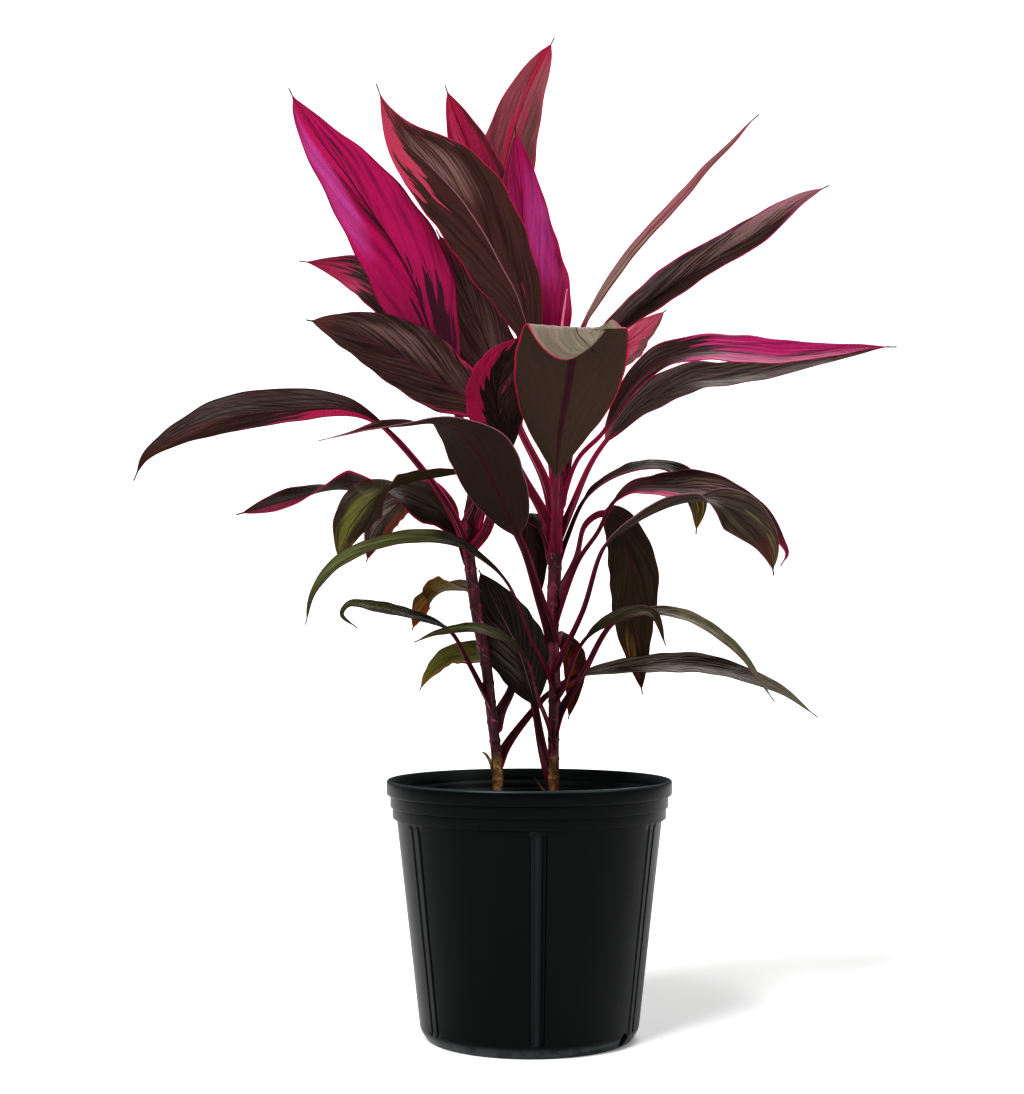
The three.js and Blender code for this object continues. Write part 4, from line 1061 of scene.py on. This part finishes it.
# The right cane's lower leaves: narrow green and brown ones that arch out and hang,
# and the autumn ones that fade to orange behind them.
RIGHT_LOWER_LEAVES = {
    "leaf_right_01": dict(
        path=((23, 10, 228), (13, 8, 264), (5, 12, 307), (-1, 14, 330), (-12, 16, 362), (-32, 18, 402),
              (-48, 18, 435)),
        blade=2, width=60, face=(-0.3, -1, 0.3),
        look=dict(base="ebony", middle="ebony", sheen="ash", sheen_spot=0.3, sheen_side=-0.4,
                  sheen_place=0.4, sheen_wide=0.4, lines=1, margin="plum", rib="mauve", rib_width=0.03)),
    "leaf_right_02": dict(
        path=((23, 10, 270), (17, -8, 291), (8, -25, 314), (-2, -45, 348), (-15, -52, 364),
              (-49, -60, 378), (-85, -62, 374), (-105, -62, 366)),
        blade=3, width=20, face=(0, -0.5, 1), finish="green",
        look=dict(middle="olive", tip="moss", blush="moss", blush_tip=0.5, sheen="fern", sheen_all=0.1,
                  margin="maroon")),
    "leaf_right_03": dict(
        path=((23, 10, 278), (30, 14, 299), (50, 20, 332), (82, 26, 385), (116, 30, 395),
              (158, 30, 387), (197, 28, 360), (234, 24, 309)),
        blade=3, width=22, face=(0, -0.5, 1), finish="green",
        look=dict(base="ebony", middle="moss", tip="lichen", blush="umber", blush_base=1.3,
                  sheen="sage", sheen_all=0.3, sheen_place=0.6, margin="mauve", margin_width=0.04)),
    "leaf_right_04": dict(
        path=((24, 10, 319), (17, -6, 337), (0, -30, 372), (-18, -62, 416), (-36, -78, 436),
              (-72, -90, 457), (-116, -92, 458), (-170, -92, 437), (-193, -88, 411), (-201, -84, 382)),
        blade=3, width=30, face=(0, -0.5, 1), finish="green", peak=0.55, base=0.9, taper=0.5,
        look=dict(base="ebony", middle="moss", tip="khaki", blush="ebony", blush_base=1.5, streak=0.4,
                  sheen="fern", sheen_place=0.7, margin="maroon")),
    "leaf_right_05": dict(
        path=((24, 10, 311), (32, -2, 321), (37, -12, 337), (50, -26, 366), (74, -38, 386),
              (111, -42, 393), (125, -42, 363)),
        blade=3, width=21, face=(0, -0.6, 1), finish="green",
        look=dict(base="ebony", middle="khaki", tip="olive", sheen="fern", sheen_spot=0.3,
                  sheen_place=0.7, margin="maroon")),
    "leaf_right_06": dict(
        path=((24, 10, 336), (30, -6, 351), (50, -30, 395), (68, -52, 452), (86, -66, 469),
              (106, -72, 482), (128, -80, 491), (151, -84, 495), (171, -86, 491), (189, -86, 479),
              (205, -84, 464), (215, -82, 447), (219, -80, 426)),
        blade=3, width=48, face=(0, -1, 0.6), finish="green", peak=0.64, base=0.9, taper=0.8,
        turns=(-66, -66, -66, -58, 0, 0, 0),
        look=dict(base="khaki", middle="tobacco", tip="russet", blush="moss", blush_left_tip=0.6,
                  sheen="sage", sheen_all=0.1, sheen_place=0.15, sheen_long=0.25, margin="mauve",
                  margin_width=0.03, base_end=0.4)),
    "leaf_right_07": dict(
        path=((23, 10, 368), (32, 40, 375), (40, 62, 366), (46, 70, 346), (46, 72, 329), (39, 70, 290)),
        blade=1, width=26, face=(-0.6, -1, 0), finish="autumn",
        look=dict(base="maroon", middle="russet", tip="rust", blush="umber", blush_left=0.9,
                  sheen="rust", margin="rust")),
    "leaf_right_08": dict(
        path=((23, 10, 363), (18, -8, 381), (10, -25, 405), (-3, -60, 445), (-11, -84, 462),
              (-21, -108, 484), (-33, -130, 508), (-45, -156, 530), (-60, -172, 545), (-80, -180, 553),
              (-104, -178, 551), (-132, -170, 550), (-159, -164, 544), (-182, -160, 539)),
        blade=4, width=60, face=(0.2, 1, 0.8), peak=0.33, turns=(0, 0, 0, -40, -62, -50),
        folds=(0.1, 0.1), taper=0.8, base=0.6, uneven=0.02,
        look=dict(base="ebony", tip="dusk rose", blush="dusk rose", blush_tip=0.4, sheen="bronze",
                  sheen_all=0.02, sheen_spot=0.1, margin="mauve", margin_width=0.03, under="tobacco",
                  under_sheen=0.04, rib="plum", tip_start=0.8)),
    "leaf_right_09": dict(
        path=((23, 10, 375), (32, 4, 404), (47, -6, 443), (65, -8, 469), (78, -10, 495), (96, -14, 509),
              (118, -18, 511), (139, -20, 511), (161, -20, 510), (182, -20, 504), (203, -18, 492),
              (222, -14, 478), (234, -12, 462), (241, -12, 449), (235, -14, 437)),
        blade=4, width=52, face=(0, -0.7, 1), base=0.8, peak=0.45,
        look=dict(base="maroon", tip="crimson", blush_right=1.0, blush_tip=0.3, sheen_all=0.1,
                  sheen_side=-0.4, under="wine", tip_start=0.8)),
    "leaf_right_10": dict(
        path=((23, 10, 404), (44, 24, 444), (54, 40, 479), (73, 56, 491), (88, 66, 480), (102, 74, 436),
              (104, 78, 376), (112, 78, 314)),
        blade=3, width=49, face=(0.3, -1, 0), finish="autumn", base=0.35,
        look=dict(middle="khaki", tip="wine", blush="wine", blush_rib=0.2, blush_tip=0.45,
                  sheen="ochre", sheen_side=0.4, sheen_place=0.78, sheen_long=0.15, sheen_all=0.04,
                  sheen_spot=0.45, margin="wine", margin_width=0.03, rib="maroon", stalk="wine",
                  stalk_edge="crimson", tip_start=0.9, lines=1)),
    "leaf_right_11": dict(
        path=((24, 10, 428), (36, 14, 463), (53, 18, 501), (74, 28, 521), (107, 36, 534),
              (135, 42, 534), (154, 44, 521), (163, 44, 499), (162, 44, 470)),
        blade=2, width=38, face=(0.2, -1, 0.4), finish="autumn", peak=0.6, base=0.6,
        turns=(-60, -60, -50, -10, 0),
        look=dict(middle="khaki", tip="moss", blush="ochre", blush_tip=0.5, sheen="ash", sheen_all=0.1,
                  tip_start=0.7)),
    "leaf_right_12": dict(
        path=((24, 10, 442), (13, 35, 474), (1, 52, 489), (5, 62, 470), (8, 64, 446), (11, 62, 407)),
        blade=1, width=28, face=(0.2, -1, 0.2),
        look=dict(base="ebony", middle="ebony", blush="wine", blush_base=0.5, sheen="bronze",
                  margin_width=0.06)),
}
set_leaves(RIGHT_LOWER_LEAVES, 71)

# The right cane's crown: the broad dark leaves in front, the striped ones that reach
# out to the right, and the hot magenta young leaves that stand up in the middle.
CROWN_LEAVES = {
    "leaf_right_13": dict(
        path=((25, 10, 456), (40, 14, 491), (59, 18, 535), (75, 20, 559), (105, 22, 591),
              (153, 24, 616), (189, 24, 620), (226, 24, 626), (260, 22, 633), (304, 22, 641),
              (345, 18, 649)),
        blade=3, width=54, face=(0, -0.7, 1), peak=0.3, base=0.5, taper=1.0,
        look=dict(blush_left_base=0.5, sheen="ash", sheen_all=0.25, sheen_spot=0.2, lines=1,
                  margin="wine", margin_width=0.04)),
    "leaf_right_14": dict(
        path=((25, 10, 461), (30, -8, 489), (45, -28, 535), (69, -44, 560), (90, -52, 596),
              (115, -58, 621), (140, -60, 630), (166, -62, 633), (194, -64, 631), (228, -64, 628),
              (271, -64, 631), (304, -62, 635), (336, -60, 636)),
        blade=3, width=54, face=(0, -0.7, 1), finish="magenta", peak=0.5, base=0.6, taper=1.1,
        look=dict(middle="fuchsia", tip="crimson", blush="umber", blush_base=1.8, blush_rib=0.8,
                  streak=1.0, sheen_all=0.02, sheen_spot=0.25, sheen_place=0.1, sheen_long=0.25,
                  lines=1, rib="maroon", rib_width=0.06, base_end=0.2, tip_start=0.85)),
    "leaf_right_15": dict(
        path=((25, 10, 448), (25, -20, 470), (24, -60, 491), (23, -110, 511), (25, -160, 548),
              (31, -200, 585), (35, -222, 615), (36, -234, 625), (38, -242, 617), (51, -244, 602)),
        blade=3, width=95, face=(0, 1, 0.9), peak=0.68, base=1.15, taper=0.28,
        folds=(0.3, 0.25, 0.22, 0.08, 0), turns=(0, 0, 0, 3.5, 3.5), uneven=0.012, wave=0.02,
        # The pale sage of the folded-over tip and the strong sheen over the blade are a painted highlight,
        # where the flap catches the light.
        look=dict(base="plum", middle="taupe", tip="sage", blush="ash", blush_tip=0.5, sheen="lichen",
                  sheen_all=0.4, lines=0.8, margin="scarlet", margin_width=0.035, under="loam",
                  rib="plum", rib_width=0.03, under_sheen=0.015)),
    "leaf_right_16": dict(
        path=((25, 10, 463), (11, -30, 490), (-7, -62, 518), (-18, -80, 539), (-30, -92, 579),
              (-25, -97, 609), (-8, -98, 642)),
        blade=3, width=56, face=(0, -1, 0.3), finish="magenta", peak=0.5, taper=1.0,
        look=dict(base="ebony", middle="ebony", blush_left=1.25, blush_left_tip=0.4, blush_all=-0.15,
                  streak=1.3, sheen="bronze", sheen_spot=0.2, margin_width=0.06)),
    "leaf_right_17": dict(
        path=((26, 10, 477), (15, 22, 521), (-8, 34, 570), (-38, 42, 649), (-59, 44, 699),
              (-80, 42, 747), (-90, 40, 767)),
        blade=2, width=52, face=(0, -1, 0.2),
        look=dict(base="cocoa", middle="bronze", tip="scarlet", blush_tip=0.5, sheen_all=0.3,
                  margin="wine", tip_start=0.85)),
    "leaf_right_18": dict(
        path=((27, 10, 486), (35, 36, 566), (48, 50, 620), (72, 60, 662), (96, 64, 683), (122, 66, 703),
              (152, 68, 725), (177, 70, 742), (207, 70, 760), (233, 68, 776), (257, 66, 794),
              (274, 64, 805), (297, 62, 816)),
        blade=3, width=54, face=(-0.4, -0.8, 0.8), peak=0.48, base=0.4, taper=0.75,
        look=dict(tip="dusk rose", blush="mauve", blush_tip=0.6, blush_left=0.5, sheen_all=0.12,
                  sheen_spot=0.6, sheen_side=-0.35, sheen_place=0.6, sheen_long=0.45, lines=1,
                  margin_width=0.08)),
    "leaf_right_19": dict(
        path=((28, 10, 496), (46, 80, 576), (74, 140, 634), (108, 185, 683), (125, 195, 697),
              (148, 205, 718)),
        blade=2, width=44, face=(0, -1, 0.8), finish="magenta",
        look=dict(middle="rose", tip="rose", blush="bronze", blush_right=1.0, sheen="blossom",
                  sheen_spot=0.35, sheen_side=-0.5)),
    "leaf_right_20": dict(
        path=((28, 10, 501), (16, 50, 601), (2, 72, 674), (-25, 90, 758), (-44, 98, 820),
              (-59, 100, 862), (-77, 100, 908), (-84, 100, 928)),
        blade=2, width=64, face=(0, -1, 0.2), finish="magenta", taper=0.8,
        look=dict(base="cocoa", middle="crimson", tip="scarlet", blush="cocoa", blush_right=0.95,
                  blush_tip=-0.4, blush_rib=0.5, streak=1, sheen="rose", sheen_side=-0.4,
                  sheen_place=0.8, sheen_wide=0.3, sheen_spot=0.7, margin="scarlet", rib="plum",
                  rib_width=0.06, base_end=1)),
    "leaf_right_21": dict(
        path=((28, 10, 506), (18, 60, 583), (2, 100, 669), (-18, 128, 745), (-29, 145, 822),
              (-22, 150, 868), (-2, 152, 931), (28, 150, 994)),
        blade=2, width=64, face=(0, -1, 0.2), finish="magenta", taper=0.6,
        look=dict(base="cocoa", middle="dusk rose", tip="scarlet", blush="scarlet", blush_rib=0.5,
                  blush_tip=0.3, streak=1.1, sheen="bronze", sheen_all=0.05, sheen_spot=0.95,
                  sheen_side=0.6, sheen_place=0.5, sheen_long=0.4, lines=0.3, margin="scarlet",
                  rib="wine", base_end=0.8, tip_start=0.85)),
    "leaf_right_22": dict(
        path=((28, 10, 510), (33, 26, 580), (53, 34, 670), (66, 36, 694), (82, 38, 719), (105, 40, 750),
              (129, 42, 777), (155, 42, 805), (176, 40, 830), (199, 40, 853), (217, 38, 873),
              (225, 38, 880)),
        blade=2, width=16, face=(-0.8, -0.8, 0.5), finish="magenta", base=0.4, taper=0.7,
        look=dict(base="taupe", middle="dusk rose", tip="dusk rose", blush="cocoa", blush_right=0.8,
                  sheen="sage", sheen_all=0.2, sheen_place=0.25, lines=1, base_end=0.6)),
    "leaf_right_23": dict(
        path=((28, 10, 518), (22, 38, 600), (14, 50, 670), (-3, 60, 751), (-7, 64, 814), (-13, 66, 877)),
        blade=1, width=68, face=(0, -1, 0.2), finish="magenta", base=1.1,
        look=dict(base="crimson", middle="fuchsia", tip="magenta", blush="wine", blush_left=0.9,
                  sheen="orchid", sheen_all=0.05, sheen_spot=0.7, sheen_side=0.5, sheen_place=0.62,
                  lines=0.3, margin="scarlet", margin_width=0.04, rib="plum", base_end=0.8)),
    "leaf_right_24": dict(
        path=((28, 10, 522), (22, -2, 585), (6, -8, 639), (-3, -12, 667), (-12, -16, 694),
              (-26, -18, 720), (-39, -20, 745), (-51, -22, 764), (-64, -22, 783), (-79, -22, 800),
              (-95, -20, 817), (-112, -18, 833), (-124, -16, 849), (-135, -14, 868), (-145, -12, 895)),
        blade=2, width=78, face=(0, -1, 0.2), peak=0.5, taper=1.25,
        look=dict(base="cocoa", middle="cocoa", tip="rose", blush="rose", blush_all=-0.3,
                  blush_left_tip=1.5, blush_tip=0.55, streak=1.3, sheen_all=0.05, sheen_spot=0.6,
                  sheen_place=0.66, sheen_wide=0.4, sheen_long=0.2, margin="scarlet",
                  margin_width=0.035, rib="mauve", rib_width=0.035, tip_start=0.82)),
}
set_leaves(CROWN_LEAVES, 91, stalk="wine", stalk_edge="crimson")

# The newest leaf is still rolled: a thin pale pink spear at the tip of the right cane,
# wrapped once round itself so that its outer edge shows as a seam.
SPEAR = dict(radius=(2.6, 3.4, 2.8, 1.6, 0.7),
             path=((29, 10, 529.4), (31, 5, 596), (31, 1, 661), (36, -1, 701)))
SPEAR_STATIONS = 70
SPEAR_SIDES = 28
SPEAR_TWIST = 2.2
SPEAR_INNER = 0.86
SPEAR_LAP = 0.16
SPEAR_SHARP_ANGLE = 50
SPEAR_PALE = (0.6, 0.66)


def rolled_leaf(name, spec, material):
    """A leaf rolled round itself: it widens once round, so that its outer edge stands out."""
    places, run = smooth_path(spec["path"])
    points = []
    for here in np.linspace(0, run[-1], SPEAR_STATIONS):
        centre = np.array([np.interp(here, run, places[:, i]) for i in range(3)])
        radius = along_list(spec["radius"], here / run[-1])
        for j in range(SPEAR_SIDES):
            turn = math.tau * j / SPEAR_SIDES + SPEAR_TWIST * here / run[-1]
            lapped = radius * (SPEAR_INNER + SPEAR_LAP * j / SPEAR_SIDES)
            points.append(centre + lapped * np.array([math.cos(turn), math.sin(turn), 0]))
    last = len(points) - 1
    faces = [tuple(range(SPEAR_SIDES)), tuple(range(last, last - SPEAR_SIDES, -1))]
    spear = mesh_object(name, points, faces + lofted_faces(SPEAR_STATIONS, SPEAR_SIDES), material)
    spear.data.set_sharp_from_angle(angle=math.radians(SPEAR_SHARP_ANGLE))
    return spear


def spear_skin():
    """Pale pink with fine fibres, and wine red where it comes out of the cane."""
    material, tree, shader = new_material("rolled leaf skin")
    place = own_place(tree)
    fibre = noise(tree, stretched(tree, place, (1, 1, 0.05)), 700, 3)
    pale = blend(tree, ease(tree, fibre, 0.3, 0.7), paint("#d9a0aa"), paint("#b4506e"))
    feed(tree, shader, {
        "Base Color": blend(tree, ease(tree, axes(tree, place)[2], *SPEAR_PALE), paint("#6d1f36"), pale),
        "Roughness": calc(tree, "MULTIPLY_ADD", fibre, 0.2, 0.34),
        "Normal": relief(tree, fibre, 0.0003, 0.7)})
    return material


fasten(rolled_leaf("rolled_new_leaf", SPEAR, spear_skin()), "new_leaf_spear")

# The studio: a plain pale floor and a white background, soft light from the upper left
# and a weaker fill from the right. The camera stands 1.7 m away, 0.37 m up, and looks up
# a little, as the pot's rim and foot show.
FLOOR_SIZE = 60
KEY_STRENGTH = 2.7
FILL_STRENGTH = 0.8
BACK_STRENGTH = 1.1
AMBIENT = 0.14
FLOOR_GLOW = 0.05
CAMERA_PLACE = (-0.0162, -1.7, 0.3736)
CAMERA_PITCH = 2.76
CAMERA_LENS = 59.35

bpy.ops.mesh.primitive_plane_add(size=FLOOR_SIZE)
floor = bpy.context.object
floor.name = "studio_floor"
floor_material, floor_tree, floor_shader = new_material("pale floor")
floor_mottle = noise(floor_tree, own_place(floor_tree), 3, 2)
feed(floor_tree, floor_shader, {
    "Base Color": blend(floor_tree, floor_mottle, paint("#f4f4f4"), paint("#f8f8f7")), "Roughness": 0.8,
    "Specular IOR Level": 0.1, "Emission Color": (1, 1, 1, 1), "Emission Strength": FLOOR_GLOW})
floor.data.materials.append(floor_material)

world = bpy.data.worlds.new("studio")
bpy.context.scene.world = world
world.use_nodes = True
sky = world.node_tree
shown = put(sky, "ShaderNodeLightPath").outputs["Is Camera Ray"]
level = calc(sky, "MULTIPLY_ADD", shown, 1 - AMBIENT, AMBIENT)
feed(sky, sky.nodes["Background"], {"Strength": level, "Color": (1, 1, 1, 1)})


def soft_sun(name, strength, softness, azimuth, height):
    """A wide soft light from far off. Azimuth 0 is the front, 90 the left, in degrees."""
    lamp = bpy.data.lights.new(name, "SUN")
    lamp.energy = strength
    lamp.angle = math.radians(softness)
    new_object(name, lamp).rotation_euler = (math.radians(90 - height), 0, math.radians(-azimuth))


soft_sun("key", KEY_STRENGTH, 24, 38, 48)
soft_sun("fill", FILL_STRENGTH, 40, -60, 30)
soft_sun("back", BACK_STRENGTH, 30, 200, 50)

camera = new_object("camera", bpy.data.cameras.new("camera"))
camera.data.lens = CAMERA_LENS
camera.location = CAMERA_PLACE
camera.rotation_euler = (math.radians(90 + CAMERA_PITCH), 0, 0)
bpy.context.scene.camera = camera
bpy.context.scene.view_settings.view_transform = "Standard"
bpy.context.scene.view_settings.look = "High Contrast"

bpy.context.view_layer.update()
